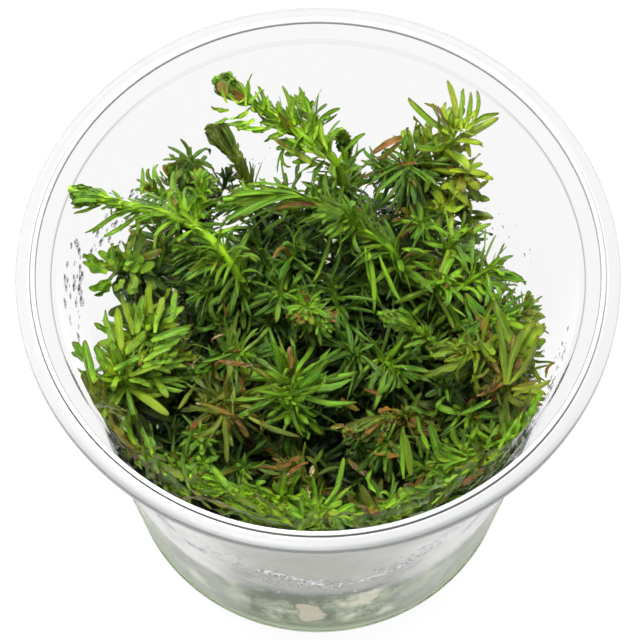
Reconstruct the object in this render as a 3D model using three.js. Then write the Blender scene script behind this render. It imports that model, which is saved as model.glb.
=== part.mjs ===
// A clear culture cup of Rotala wallichii shoots that grow out of a bed of nutrient jelly.
// Millimetres, +Z up. The origin is the middle of the cup's flat underside.
import * as THREE from "three";

// Cup
const cupHeight = 86.5;
const rimRadius = 50.5;
const baseRadius = 36.4;
const cornerRadius = 4;
const wallThickness = 0.8;
const wallTopRadius = 44.7;
const wallTopHeight = 83.2;
const ledgeHeight = 84.4;
const flangeHeight = 86;
const flangeThickness = 0.8;
const beadInnerRadius = 47.1;
const beadOuterRadius = 48.1;
const skirtHeight = 84.2;
const collarMargin = 0.5;
const beadChamfer = 0.15;
const ledgeBevel = 0.2;
const cupSegments = 40;

// Jelly
const gelHeight = 28;
const fitGap = 0.3;

// Shoots
const stemSides = 6;
const stemRadius = 0.6;
const whorlRadius = 1.45;
const leafTipRadius = 0.1;
const leafGap = 0.15;
const wallGap = 0.5;
const frameSteps = 80;
const shortestStretch = 0.1;
const ringTurn = 0.35;
const stubLength = 0.15;
const leafDroop = 0.02;
const leafFootShare = 0.12;
const leafFootFullness = 0.88;
const leanRise = 6;
const leafShares = [1, 0.9, 0.8, 0.7, 0.6, 0.5, 0.4, 0.3, 0.2];
const parallelLimit = 1e-9;

const wallSlope = (wallTopRadius - baseRadius) / (wallTopHeight - cornerRadius);

function outerWallRadius(height) {
  return baseRadius + wallSlope * (height - cornerRadius);
}

function innerWallRadius(height) {
  return outerWallRadius(height) - wallThickness;
}

function cornerArc(radius, steps) {
  const centre = baseRadius - cornerRadius;
  const arc = [];
  for (let i = 0; i <= steps; i += 1) {
    const turn = (Math.PI / 2) * (i / steps);
    arc.push([centre + radius * Math.sin(turn), cornerRadius - radius * Math.cos(turn)]);
  }
  return arc;
}

function latheSolid(name, profile, material) {
  const points = profile.map(([radius, height]) => new THREE.Vector2(radius, height));
  const geometry = new THREE.LatheGeometry(points, cupSegments);
  geometry.rotateX(Math.PI / 2);
  const mesh = new THREE.Mesh(geometry, material);
  mesh.name = name;
  return mesh;
}

function makeCup() {
  const outside = [
    [0, 0],
    ...cornerArc(cornerRadius, 3),
    [wallTopRadius, wallTopHeight],
    [wallTopRadius + wallThickness, wallTopHeight + wallThickness],
    [beadInnerRadius + collarMargin, flangeHeight - flangeThickness],
    [rimRadius - flangeThickness, flangeHeight - flangeThickness],
    [rimRadius - flangeThickness, skirtHeight],
    [rimRadius, skirtHeight],
    [rimRadius, flangeHeight],
    [beadOuterRadius, flangeHeight],
    [beadOuterRadius - beadChamfer, cupHeight],
    [beadInnerRadius + beadChamfer, cupHeight],
    [beadInnerRadius, flangeHeight],
  ];
  const inside = [
    [wallTopRadius + ledgeBevel, ledgeHeight],
    [wallTopRadius - wallThickness, wallTopHeight + ledgeBevel],
    ...cornerArc(cornerRadius - wallThickness, 2).reverse(),
    [0, wallThickness],
  ];
  const clear = new THREE.MeshStandardMaterial({
    color: 0xf4f6f6,
    roughness: 0.15,
    metalness: 0,
    transparent: true,
    opacity: 0.35,
  });
  return latheSolid("cup", [...outside, ...inside], clear);
}

function makeGel() {
  const bottom = wallThickness + fitGap;
  const profile = [
    [0, bottom],
    ...cornerArc(cornerRadius - bottom, 2),
    [innerWallRadius(gelHeight) - fitGap, gelHeight],
    [0, gelHeight],
  ];
  const jelly = new THREE.MeshStandardMaterial({
    color: 0xb9bfa6,
    roughness: 0.35,
    metalness: 0,
    transparent: true,
    opacity: 0.8,
  });
  return latheSolid("gel", profile, jelly);
}

const shootColours = {
  bright: 0x6fb02a,
  green: 0x3f7a26,
  deep: 0x2a5524,
  olive: 0x7d8a2b,
  brown: 0x6b5a2c,
};

// Whorls of a shoot, from its tip down: where each leafy stretch starts and ends along the stem,
// the leaf length as a share of the shoot's own, and the leaf's angle to the stem in degrees.
const habits = {
  star: [
    { from: 0.8, to: 2.6, share: 0.8, angle: 48 },
    { from: 2.6, to: 5, share: 1, angle: 78 },
    { from: 9, to: 12, share: 0.95, angle: 66 },
    { from: 19, to: 22, share: 0.85, angle: 66 },
  ],
  brush: [
    { from: 1, to: 3.5, share: 0.8, angle: 20 },
    { from: 3.5, to: 7, share: 1, angle: 38 },
    { from: 7, to: 11, share: 1, angle: 48 },
    { from: 14, to: 18, share: 1, angle: 55 },
    { from: 23, to: 27, share: 0.9, angle: 60 },
  ],
  bud: [
    { from: 1, to: 4, share: 0.55, angle: 12 },
    { from: 4, to: 7.5, share: 0.9, angle: 24 },
    { from: 9, to: 13, share: 1, angle: 42 },
    { from: 13, to: 17, share: 1, angle: 50 },
    { from: 20, to: 24, share: 0.9, angle: 58 },
    { from: 29, to: 33, share: 0.8, angle: 60 },
  ],
};

// Each shoot's route runs from the jelly up to its tip, leaf is its longest leaf, and lean is how far
// its tip goes sideways over the last stretch.
const shoots = [
  // the bright shoot that lies out to the left rim, ending in a bud
  { habit: "bud", tone: "bright", leaf: 7,
    route: [[-11, -3], [-12, 0, 60], [-15, 4, 80], [-22, 9, 84.5], [-32.5, 11.5, 86.5], [-40.5, 14, 87.5]] },
  // the bright shoot that lies out to the back left, ending in a bud
  { habit: "bud", tone: "bright", leaf: 7,
    route: [[4, 17], [5, 19, 60], [3, 22.5, 81], [-6, 27.5, 86], [-18, 35, 88]] },
  // the dark bud between them and the two dark rosettes beside it
  { habit: "bud", tone: "deep", leaf: 6,
    route: [[-9, 14], [-10, 17, 62], [-13, 21.5, 80], [-19, 27, 86]] },
  { habit: "star", tone: "deep", leaf: 6.5, lean: [0, -4],
    route: [[-17, 18], [-20, 20, 62], [-22, 21, 82]] },
  { habit: "star", tone: "green", leaf: 6, lean: [-5, 0],
    route: [[-22, 13], [-27, 17, 65], [-29, 18, 80]] },
  // the long lying brush over the middle of the back
  { habit: "bud", tone: "green", leaf: 8,
    route: [[14, 4], [14, 5, 62], [12.5, 6, 80], [4.5, 9.5, 84.5], [-3, 13, 86.5], [-16, 12, 87]] },
  // the narrow shoot at the back
  { habit: "bud", tone: "green", leaf: 5, lean: [-1, 1],
    route: [[8, 25], [6, 27, 62], [4, 28, 83]] },
  // the open rosette at the back right, with a smaller one under it
  { habit: "star", tone: "olive", leaf: 8.5,
    route: [[18, 17], [19.5, 20, 68], [20.5, 22, 79], [23, 26, 88]] },
  { habit: "star", tone: "olive", leaf: 5.5, lean: [1, -1],
    route: [[23, 15], [26, 18, 62], [25.5, 20, 83]] },
  // the big dark-green rosette in front of it and the curled bud beside its foot
  { habit: "star", tone: "deep", leaf: 8, lean: [0, -5],
    route: [[13, 13], [14.5, 16, 62], [15.5, 17.5, 86]] },
  { habit: "star", tone: "green", leaf: 4.5, lean: [1, -4],
    route: [[17, 9], [18, 10, 62], [18, 10, 81]] },
  // the bunch along the right side
  { habit: "star", tone: "green", leaf: 7, lean: [3, 1],
    route: [[22, 8], [24, 9, 62], [25, 9.5, 80]] },
  { habit: "star", tone: "green", leaf: 8, lean: [5, 1],
    route: [[27, 3], [29.5, 3.5, 62], [30, 3.5, 79]] },
  { habit: "star", tone: "green", leaf: 7, lean: [2, -1],
    route: [[20, 1], [22, 1.5, 62], [22, 1.5, 78]] },
  { habit: "star", tone: "green", leaf: 7, lean: [4, -2],
    route: [[28, -4], [31.5, -5, 62], [32, -5.5, 77]] },
  { habit: "star", tone: "olive", leaf: 6.5, lean: [3, -4],
    route: [[30, -11], [34, -12, 62], [35, -12, 75]] },
  { habit: "star", tone: "olive", leaf: 7, lean: [-5, -3],
    route: [[21, -11], [23, -13, 62], [24, -13, 80]] },
  { habit: "star", tone: "brown", leaf: 6, lean: [-4, -1],
    route: [[26, -15], [29, -18, 62], [29.5, -18, 77]] },
  // the curled bud in the middle and the lying shoot to its right
  { habit: "star", tone: "green", leaf: 5, lean: [0, -3],
    route: [[-1, -4], [-1.5, -6, 62], [-2, -6.5, 83]] },
  { habit: "bud", tone: "green", leaf: 6,
    route: [[17, -6], [18, -7, 60], [17.5, -7.5, 76], [10, -5.5, 79.5]] },
  // the big bright star in the middle front, the dark star behind it and the brownish one beside it
  { habit: "star", tone: "green", leaf: 10, lean: [0, -7],
    route: [[-4, -17], [-4.5, -20, 62], [-4.5, -21, 78]] },
  { habit: "star", tone: "deep", leaf: 7.5, lean: [1, -3],
    route: [[6, -8], [6.5, -10, 60], [6.5, -10.5, 74]] },
  { habit: "star", tone: "brown", leaf: 8.5, lean: [1, -6],
    route: [[-13, -18], [-15, -21, 60], [-15, -22, 74]] },
  { habit: "star", tone: "green", leaf: 4.5, lean: [0, -3],
    route: [[-17, -23], [-19, -25, 60], [-19.5, -25.5, 72]] },
  // the bright broad-leaved bunch at the left and the yellowish rosette behind it
  { habit: "star", tone: "bright", leaf: 9, lean: [-1, 1],
    route: [[-27, -13], [-32, -16, 62], [-33, -16, 80]] },
  { habit: "star", tone: "bright", leaf: 8, lean: [2, 4],
    route: [[-24, -5], [-27, -6, 62], [-28, -6, 79]] },
  { habit: "star", tone: "green", leaf: 6.5, lean: [-5, -1],
    route: [[-28, 4], [-32.5, 4.5, 62], [-34, 4.5, 80]] },
  // the bright shoot that lies along the near wall and the rosette at its foot
  { habit: "bud", tone: "bright", leaf: 6,
    route: [[-6, -31], [-6, -33.5, 60], [-5, -36, 72], [-9, -38, 77.5], [-15, -37, 79], [-21, -35, 79.5]] },
  { habit: "star", tone: "bright", leaf: 6.5, lean: [2, 0],
    route: [[2, -33], [1.5, -37, 60], [1, -39, 75.5]] },
  { habit: "star", tone: "brown", leaf: 7, lean: [-5, 2],
    route: [[-5, -25], [-5, -29, 60], [-5, -30.5, 72]] },
  // the lower right front
  { habit: "brush", tone: "bright", leaf: 6,
    route: [[25.5, -24], [29.5, -27.5, 74], [26, -30, 75.5], [20.6, -31.5, 75.5]] },
  { habit: "star", tone: "green", leaf: 7, lean: [2, -4],
    route: [[17, -28], [19, -31, 60], [19.5, -31.5, 71]] },
  { habit: "star", tone: "green", leaf: 7, lean: [-1, -4],
    route: [[9, -24], [11, -27.5, 60], [11, -28, 75]] },
  { habit: "star", tone: "green", leaf: 6, lean: [3, 2],
    route: [[11, -32], [13, -35, 60], [13, -36, 70]] },
  { habit: "bud", tone: "brown", leaf: 6,
    route: [[15, -20], [15.5, -21, 60], [14, -22.5, 75], [4, -27, 79]] },
  { habit: "star", tone: "green", leaf: 5.5, lean: [1, -2],
    route: [[28, -22], [32, -23, 62], [33, -23, 73]] },
  { habit: "star", tone: "green", leaf: 7, lean: [2, -5],
    route: [[23, -20], [26, -22, 60], [26.5, -22.5, 72]] },
  { habit: "star", tone: "green", leaf: 7, lean: [4, -5],
    route: [[13, -13], [14, -14, 60], [14, -14, 74]] },
  // the lower left front
  { habit: "star", tone: "brown", leaf: 2.5, lean: [-1, 0],
    route: [[-31, -16], [-35, -19, 62], [-36, -19.5, 76]] },
  { habit: "star", tone: "green", leaf: 7, lean: [-4, -1],
    route: [[-23, -27], [-25, -28.5, 60], [-26, -29, 70]] },
  { habit: "brush", tone: "brown", leaf: 4, lean: [-1, -1],
    route: [[-28, -21], [-31, -25, 60], [-31.5, -26, 71]] },
  { habit: "star", tone: "deep", leaf: 7, lean: [3, -5],
    route: [[-11, -26], [-12, -28.5, 55], [-12.5, -29, 66]] },
  // the dark middle left
  { habit: "star", tone: "green", leaf: 7, lean: [-4, -1],
    route: [[-20, 6], [-23, 6, 62], [-24, 6, 76]] },
  { habit: "star", tone: "deep", leaf: 7, lean: [-4, -3],
    route: [[-17, 0], [-19, 0, 62], [-20, 0, 76]] },
  { habit: "star", tone: "deep", leaf: 7, lean: [5, -3],
    route: [[-10, -10], [-11, -11, 60], [-11, -11.5, 75]] },
  { habit: "star", tone: "deep", leaf: 7, lean: [0, -5],
    route: [[-19, -9], [-20, -10, 50], [-21, -10, 62]] },
  { habit: "star", tone: "deep", leaf: 7, lean: [-3, -3],
    route: [[-6, 0], [-6.5, -0.5, 60], [-7, -1, 77]] },
  // the dark middle
  { habit: "star", tone: "deep", leaf: 7, lean: [-3, 5],
    route: [[-9, 7], [-10, 9, 62], [-11, 9.5, 78]] },
  { habit: "star", tone: "deep", leaf: 8, lean: [-1, 3],
    route: [[2, 0], [2.5, 1, 60], [2.5, 1, 78]] },
  { habit: "star", tone: "deep", leaf: 7, lean: [3, -4],
    route: [[8, 1], [8.5, 1.5, 60], [8.5, 1.5, 75]] },
  { habit: "star", tone: "green", leaf: 7, lean: [-2, 4],
    route: [[-3, 13], [-4, 16, 62], [-6, 18.5, 79]] },
  { habit: "star", tone: "deep", leaf: 7, lean: [5, 3],
    route: [[9, 9], [9.5, 11, 62], [9.5, 11.5, 77]] },
  { habit: "star", tone: "deep", leaf: 7, lean: [2, 2],
    route: [[-3, 6], [-3, 7.5, 62], [-3, 8, 79]] },
];

function shootCurve({ route, lean }) {
  const points = route.map(([x, y, z]) => new THREE.Vector3(x, y, z ?? gelHeight + fitGap));
  if (lean) {
    const tip = points[points.length - 1];
    points.splice(-1, 0, new THREE.Vector3(tip.x - lean[0], tip.y - lean[1], tip.z - leanRise));
  }
  return new THREE.CatmullRomCurve3(points, false, "centripetal");
}

// Rings along a stem: where they lie, how wide they are, and the whorl that each one starts.
function stemRings(curve, habit) {
  const length = curve.getLength();
  const rings = [{ along: 0, radius: stemRadius, whorl: null }];
  for (const whorl of [...habits[habit]].reverse()) {
    const start = length - whorl.to;
    const last = rings[rings.length - 1];
    if (start - last.along > shortestStretch) {
      rings.push({ along: start, radius: whorlRadius, whorl });
    } else {
      last.whorl = whorl;
      last.radius = whorlRadius;
    }
    rings.push({ along: length - whorl.from, radius: whorlRadius, whorl: null });
  }
  const frames = curve.computeFrenetFrames(frameSteps, false);
  return rings.map((ring) => {
    const share = ring.along / length;
    const step = Math.round(share * frameSteps);
    return {
      ...ring,
      centre: curve.getPointAt(share),
      tangent: curve.getTangentAt(share),
      across: frames.normals[step],
      beside: frames.binormals[step],
    };
  });
}

function ringPoint(ring, side, turn) {
  const angle = (2 * Math.PI * side) / stemSides + turn;
  return ring.centre
    .clone()
    .addScaledVector(ring.across, ring.radius * Math.cos(angle))
    .addScaledVector(ring.beside, ring.radius * Math.sin(angle));
}

// The least spare room between two tapering rods, each given by its ends and end radii.
function rodClearance(a, b) {
  const segmentA = a.end.clone().sub(a.start);
  const segmentB = b.end.clone().sub(b.start);
  const between = a.start.clone().sub(b.start);
  const aa = segmentA.dot(segmentA);
  const bb = segmentB.dot(segmentB);
  const ab = segmentA.dot(segmentB);
  const da = segmentA.dot(between);
  const db = segmentB.dot(between);
  const spread = aa * bb - ab * ab;
  let s = spread > parallelLimit ? THREE.MathUtils.clamp((ab * db - da * bb) / spread, 0, 1) : 0;
  const t = THREE.MathUtils.clamp((ab * s + db) / bb, 0, 1);
  s = THREE.MathUtils.clamp((ab * t - da) / aa, 0, 1);
  const pointA = a.start.clone().addScaledVector(segmentA, s);
  const pointB = b.start.clone().addScaledVector(segmentB, t);
  const radii = THREE.MathUtils.lerp(a.startRadius, a.endRadius, s) +
    THREE.MathUtils.lerp(b.startRadius, b.endRadius, t);
  return pointA.distanceTo(pointB) - radii;
}

function stemRods(rings, owner) {
  const rods = [];
  for (let i = 1; i < rings.length; i += 1) {
    rods.push({
      start: rings[i - 1].centre,
      end: rings[i].centre,
      startRadius: rings[i - 1].radius,
      endRadius: rings[i].radius,
      owner,
    });
  }
  return rods;
}

function insideCup(point) {
  const wallRadius = innerWallRadius(Math.min(point.z, wallTopHeight));
  const mouthRadius = point.z > cupHeight ? beadInnerRadius : wallRadius;
  return Math.hypot(point.x, point.y) < mouthRadius - wallGap;
}

// A leaf keeps its full length where it has room and is shorter where a neighbour is in its way.
function fitLeaf(root, heading, length, halfBase, owner, taken) {
  for (const share of leafShares) {
    const tip = root.clone().addScaledVector(heading, length * share);
    tip.z -= leafDroop * (length * share) ** 2;
    const leaf = {
      start: root.clone().addScaledVector(heading, leafFootShare * length * share),
      end: tip,
      startRadius: leafFootFullness * halfBase,
      endRadius: leafTipRadius,
      owner,
    };
    const rods = taken.filter((rod) => rod.owner !== owner);
    const clear = tip.z > gelHeight + fitGap && insideCup(tip) &&
      rods.every((rod) => rodClearance(leaf, rod) > leafGap);
    if (clear) {
      return leaf;
    }
  }
  return null;
}

function shootGeometry(rings, leafLength, habit, owner, taken) {
  const corners = [];
  const faces = [];
  const addPoint = (point) => corners.push(point.x, point.y, point.z) / 3 - 1;
  const turns = rings.map((ring, i) => ringTurn * i);
  const loops = rings.map((ring, i) =>
    Array.from({ length: stemSides }, (_, side) => addPoint(ringPoint(ring, side, turns[i]))));
  const cornerAt = (index) => new THREE.Vector3().fromArray(corners, 3 * index);
  for (let i = 1; i < rings.length; i += 1) {
    const { whorl } = rings[i - 1];
    for (let side = 0; side < stemSides; side += 1) {
      const next = (side + 1) % stemSides;
      const quad = [loops[i - 1][side], loops[i - 1][next], loops[i][next], loops[i][side]];
      if (!whorl) {
        faces.push(quad[0], quad[1], quad[2], quad[0], quad[2], quad[3]);
        continue;
      }
      const root = quad.reduce((sum, index) => sum.add(cornerAt(index)), new THREE.Vector3())
        .divideScalar(4);
      const middle = rings[i - 1].centre.clone().add(rings[i].centre).divideScalar(2);
      const outward = root.clone().sub(middle).normalize();
      const angle = THREE.MathUtils.degToRad(whorl.angle);
      const heading = rings[i].tangent.clone().multiplyScalar(Math.cos(angle))
        .addScaledVector(outward, Math.sin(angle));
      const halfBase = Math.max((whorl.to - whorl.from) / 2, whorlRadius);
      const leaf = fitLeaf(root, heading, leafLength * whorl.share, halfBase, owner, taken);
      const tip = addPoint(leaf ? leaf.end : root.clone().addScaledVector(outward, stubLength));
      if (leaf) {
        taken.push(leaf);
      }
      quad.forEach((index, k) => faces.push(index, quad[(k + 1) % 4], tip));
    }
  }
  const first = loops[0];
  const last = loops[loops.length - 1];
  const crown = rings[rings.length - 1];
  const crownTip = addPoint(crown.centre.clone().addScaledVector(crown.tangent, habits[habit][0].from));
  for (let side = 1; side < stemSides - 1; side += 1) {
    faces.push(first[0], first[side + 1], first[side]);
  }
  for (let side = 0; side < stemSides; side += 1) {
    faces.push(last[side], last[(side + 1) % stemSides], crownTip);
  }
  const geometry = new THREE.BufferGeometry();
  geometry.setAttribute("position", new THREE.Float32BufferAttribute(corners, 3));
  geometry.setIndex(faces);
  geometry.computeVertexNormals();
  return geometry;
}

function makeShoots() {
  const stems = shoots.map((shoot) => stemRings(shootCurve(shoot), shoot.habit));
  const taken = stems.flatMap((rings, i) => stemRods(rings, i));
  return shoots.map(({ habit, tone, leaf }, i) => {
    const material = new THREE.MeshStandardMaterial({
      color: shootColours[tone],
      roughness: 0.45,
      metalness: 0,
    });
    const mesh = new THREE.Mesh(shootGeometry(stems[i], leaf, habit, i, taken), material);
    mesh.name = `shoot_${String(i + 1).padStart(2, "0")}`;
    return mesh;
  });
}

const group = new THREE.Group();
group.add(makeCup(), makeGel(), ...makeShoots());

export default group;
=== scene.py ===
import math

import bpy
import numpy as np
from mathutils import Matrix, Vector


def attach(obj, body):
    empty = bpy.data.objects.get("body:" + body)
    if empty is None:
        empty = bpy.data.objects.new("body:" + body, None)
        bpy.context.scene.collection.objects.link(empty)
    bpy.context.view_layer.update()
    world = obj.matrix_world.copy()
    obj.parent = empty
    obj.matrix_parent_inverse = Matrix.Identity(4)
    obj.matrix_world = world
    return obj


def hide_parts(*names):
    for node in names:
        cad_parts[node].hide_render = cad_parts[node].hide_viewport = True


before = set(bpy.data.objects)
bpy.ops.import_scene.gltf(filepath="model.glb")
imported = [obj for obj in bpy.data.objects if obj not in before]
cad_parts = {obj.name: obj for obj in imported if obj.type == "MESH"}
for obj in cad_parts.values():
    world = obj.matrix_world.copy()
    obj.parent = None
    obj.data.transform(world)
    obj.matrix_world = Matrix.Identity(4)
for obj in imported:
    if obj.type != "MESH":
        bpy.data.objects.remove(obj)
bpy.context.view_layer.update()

mm = 0.001
tiny = 1e-9

# camera and its framing, as the photograph was taken: from the front, steeply down into the cup
photoView = dict(
    pixels=640,
    lensPixels=2695.7,      # focal length in pixels of the frame
    distance=450 * mm,      # from the middle of the rim
    elevation=63.8,         # degrees above the rim's plane
    tiltDown=1.14,          # degrees that the aim passes below the rim's middle
    rimHeight=86 * mm,
    sideShift=0.003,        # share of the frame
    sensor=36,
    clip=(0.01, 20),
)


def placeCamera(view):
    data = bpy.data.cameras.new("photoCamera")
    data.sensor_width = view["sensor"]
    data.lens = view["lensPixels"] / view["pixels"] * view["sensor"]
    data.shift_x = view["sideShift"]
    data.clip_start, data.clip_end = view["clip"]
    camera = bpy.data.objects.new("photoCamera", data)
    bpy.context.scene.collection.objects.link(camera)
    rise = math.radians(view["elevation"])
    reach = view["distance"]
    camera.location = (0, -reach * math.cos(rise), view["rimHeight"] + reach * math.sin(rise))
    camera.rotation_euler = (math.radians(90 - view["elevation"] - view["tiltDown"]), 0, 0)
    bpy.context.scene.camera = camera


placeCamera(photoView)
print("camera set")


def addNode(tree, kind, **settings):
    node = tree.nodes.new(kind)
    for name, value in settings.items():
        setattr(node, name, value)
    return node


def feed(socket, value):
    # value is another node's socket, a number, or a colour or vector
    if isinstance(value, bpy.types.NodeSocket):
        socket.id_data.links.new(value, socket)
    elif isinstance(value, (int, float)):
        socket.default_value = value
    else:
        socket.default_value = (*value, 1.0)[:len(socket.default_value)]


def feedAll(node, values):
    for name, value in values.items():
        feed(node.inputs[name], value)


def newMaterial(name):
    material = bpy.data.materials.new(name)
    material.use_nodes = True
    tree = material.node_tree
    tree.nodes.clear()
    out = addNode(tree, "ShaderNodeOutputMaterial")
    shader = addNode(tree, "ShaderNodeBsdfPrincipled")
    feed(out.inputs["Surface"], shader.outputs["BSDF"])
    return material, shader


def treeOf(values):
    return next(value.id_data for value in values if isinstance(value, bpy.types.NodeSocket))


def maths(operation, *values, clamp=False):
    node = addNode(treeOf(values), "ShaderNodeMath", operation=operation, use_clamp=clamp)
    for socket, value in zip(node.inputs, values):
        feed(socket, value)
    return node.outputs[0]


def times(first, second, clamp=False):
    return maths("MULTIPLY", first, second, clamp=clamp)


def scaled(value, factor, offset):
    return maths("MULTIPLY_ADD", value, factor, offset)


def less(first, second):
    return maths("SUBTRACT", first, second)


def inverse(value):
    return less(1.0, value)


def larger(first, second):
    return maths("MAXIMUM", first, second)


def size(value):
    return maths("ABSOLUTE", value)


def ramped(value, low, high, smooth=True):
    # value brought from low..high to 0..1
    kind = "SMOOTHSTEP" if smooth else "LINEAR"
    node = addNode(value.id_data, "ShaderNodeMapRange", interpolation_type=kind)
    for socket, amount in zip(node.inputs, (value, low, high)):
        feed(socket, amount)
    return node.outputs[0]


def mixColour(amount, first, second):
    node = addNode(treeOf((amount, first, second)), "ShaderNodeMix", data_type="RGBA", clamp_factor=True)
    for index, value in ((0, amount), (6, first), (7, second)):
        feed(node.inputs[index], value)
    return node.outputs[2]


def noiseAt(place, scale, detail, roughness):
    node = addNode(place.id_data, "ShaderNodeTexNoise")
    feedAll(node, {"Scale": scale, "Detail": detail, "Roughness": roughness, "Vector": place})
    return node.outputs["Fac"]


def vectorMaths(operation, first, *second, out="Value"):
    node = addNode(first.id_data, "ShaderNodeVectorMath", operation=operation)
    for socket, value in zip(node.inputs, (first, *second)):
        feed(socket, value)
    return node.outputs[out]


def placeOn(shader):
    return addNode(shader.id_data, "ShaderNodeTexCoord").outputs["Object"]


def split(vector):
    node = addNode(vector.id_data, "ShaderNodeSeparateXYZ")
    feed(node.inputs[0], vector)
    return [node.outputs[k] for k in range(3)]


def joined(tree, *values):
    node = addNode(tree, "ShaderNodeCombineXYZ")
    for socket, value in zip(node.inputs, values):
        feed(socket, value)
    return node.outputs[0]


# the studio: a pale floor, a bright even surround, one soft light from above and a small one for glints
studio = dict(
    floorSize=6.0,
    floorColour=(0.02, 0.02, 0.02),
    floorRoughness=0.8,
    floorGlow=0.98,
    shadePlace=(0, -10 * mm, 0),    # middle of the contact shadow under the cup
    shadeReach=(16 * mm, 34 * mm),  # its dark inside and its outer edge
    shadeDepth=0.1,
    surroundTop=(0.55, 0.55, 0.55),
    surroundSide=(0.62, 0.62, 0.62),
    surroundRise=(0.05, 0.6),
    surroundStrength=1.0,
    aim=(0, 0, 70 * mm),
    lights=dict(
        key=dict(place=(-0.10, -0.05, 0.9), size=0.35, power=8.0),
        glint=dict(place=(-0.05, 0.30, 0.85), size=0.13, power=8.5),
    ),
    bounces=dict(max=32, transmission=24, glossy=20, diffuse=4),
)


def makeSurround():
    world = bpy.data.worlds.new("studioSurround")
    world.use_nodes = True
    bpy.context.scene.world = world
    tree = world.node_tree
    tree.nodes.clear()
    out = addNode(tree, "ShaderNodeOutputWorld")
    light = addNode(tree, "ShaderNodeBackground")
    height = split(addNode(tree, "ShaderNodeTexCoord").outputs["Generated"])[2]
    rise = ramped(height, *studio["surroundRise"])
    colour = mixColour(rise, studio["surroundSide"], studio["surroundTop"])
    feedAll(light, {"Strength": studio["surroundStrength"], "Color": colour})
    feed(out.inputs[0], light.outputs[0])


def makeFloor():
    half = studio["floorSize"] / 2
    corners = [(-half, -half, 0), (half, -half, 0), (half, half, 0), (-half, half, 0)]
    mesh = bpy.data.meshes.new("studioFloor")
    mesh.from_pydata(corners, [], [(0, 1, 2, 3)])
    floor = bpy.data.objects.new("studioFloor", mesh)
    bpy.context.scene.collection.objects.link(floor)
    material, shader = newMaterial("paleFloor")
    lit = ramped(vectorMaths("DISTANCE", placeOn(shader), studio["shadePlace"]), *studio["shadeReach"])
    glow, depth = studio["floorGlow"], studio["shadeDepth"]
    feedAll(shader, {
        "Base Color": studio["floorColour"],
        "Roughness": studio["floorRoughness"],
        "Emission Color": (1, 1, 1),
        "Emission Strength": scaled(lit, glow * depth, glow * (1 - depth)),
    })
    mesh.materials.append(material)


def makeLight(name, look):
    data = bpy.data.lights.new(name + "Light", "AREA")
    data.shape = "SQUARE"
    data.size = look["size"]
    data.energy = look["power"]
    lamp = bpy.data.objects.new(name + "Light", data)
    lamp.location = look["place"]
    aim = Vector(studio["aim"]) - lamp.location
    lamp.rotation_euler = aim.to_track_quat("-Z", "Y").to_euler()
    bpy.context.scene.collection.objects.link(lamp)


def makeStudio():
    scene = bpy.context.scene
    scene.view_settings.view_transform = "Standard"
    for kind, count in studio["bounces"].items():
        setattr(scene.cycles, kind + "_bounces", count)
    makeSurround()
    makeFloor()
    for name, look in studio["lights"].items():
        makeLight(name, look)


makeStudio()
print("studio set")

# the clear cup: the same sizes as its solid
cup = dict(
    height=86.5 * mm,
    rimRadius=50.5 * mm,
    baseRadius=36.4 * mm,
    cornerRadius=4 * mm,
    wall=0.8 * mm,
    wallTopRadius=44.7 * mm,
    wallTopHeight=83.2 * mm,
    ledgeHeight=84.4 * mm,
    flangeHeight=86 * mm,
    beadInner=47.1 * mm,
    beadOuter=48.1 * mm,
    skirtHeight=84.2 * mm,
    collarMargin=0.5 * mm,
    lip=0.25 * mm,          # rounding of the flange's edge and of the bead
    bevel=0.1 * mm,
    straightMargin=0.5 * mm,    # of the wall's straight part from its corners
    cornerSteps=(8, 6),     # of the bottom corner's arc, outside and inside
    lipSteps=4,
    segments=720,
    sharpFrom=28,           # degrees
)
gel = dict(
    top=28 * mm,
    gap=0.3 * mm,
    straightFrom=4.5 * mm,
    dip=1 * mm,             # its middle is lower than the edge that clings to the wall
    clingWidths=(0.8 * mm, 3 * mm),
    shares=(0.75, 0.5, 0.25),
    cornerSteps=6,
    segments=128,
)


def innerWall(height):
    slope = (cup["wallTopRadius"] - cup["baseRadius"]) / (cup["wallTopHeight"] - cup["cornerRadius"])
    return cup["baseRadius"] - cup["wall"] + slope * (height - cup["cornerRadius"])


def linkPiece(name, mesh, replaced=None):
    piece = bpy.data.objects.new(name, mesh)
    bpy.context.scene.collection.objects.link(piece)
    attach(piece, "root")
    if replaced:
        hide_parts(replaced)


def turnedMesh(name, profile, segments):
    # a closed profile of (radius, height) points that starts and ends on the axis, turned about Z
    rows = []
    points = []
    for radius, height in profile:
        if radius < tiny:
            rows.append([len(points)] * segments)
            points.append((0, 0, height))
            continue
        rows.append(list(range(len(points), len(points) + segments)))
        for k in range(segments):
            turn = 2 * math.pi * k / segments
            points.append((radius * math.cos(turn), radius * math.sin(turn), height))
    faces = []
    for low, high in zip(rows, rows[1:]):
        for k in range(segments):
            n = (k + 1) % segments
            face = [low[k], low[n], high[n], high[k]]
            faces.append(tuple(dict.fromkeys(face)))
    mesh = bpy.data.meshes.new(name)
    mesh.from_pydata(points, [], faces)
    mesh.shade_smooth()
    return mesh


def rounded(corner, radius, start, end, steps):
    # points of an arc about corner, from start to end degrees (0 is outward, 90 is up)
    arc = []
    for k in range(steps + 1):
        turn = math.radians(start + (end - start) * k / steps)
        arc.append((corner[0] + radius * math.cos(turn), corner[1] + radius * math.sin(turn)))
    return arc


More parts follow.
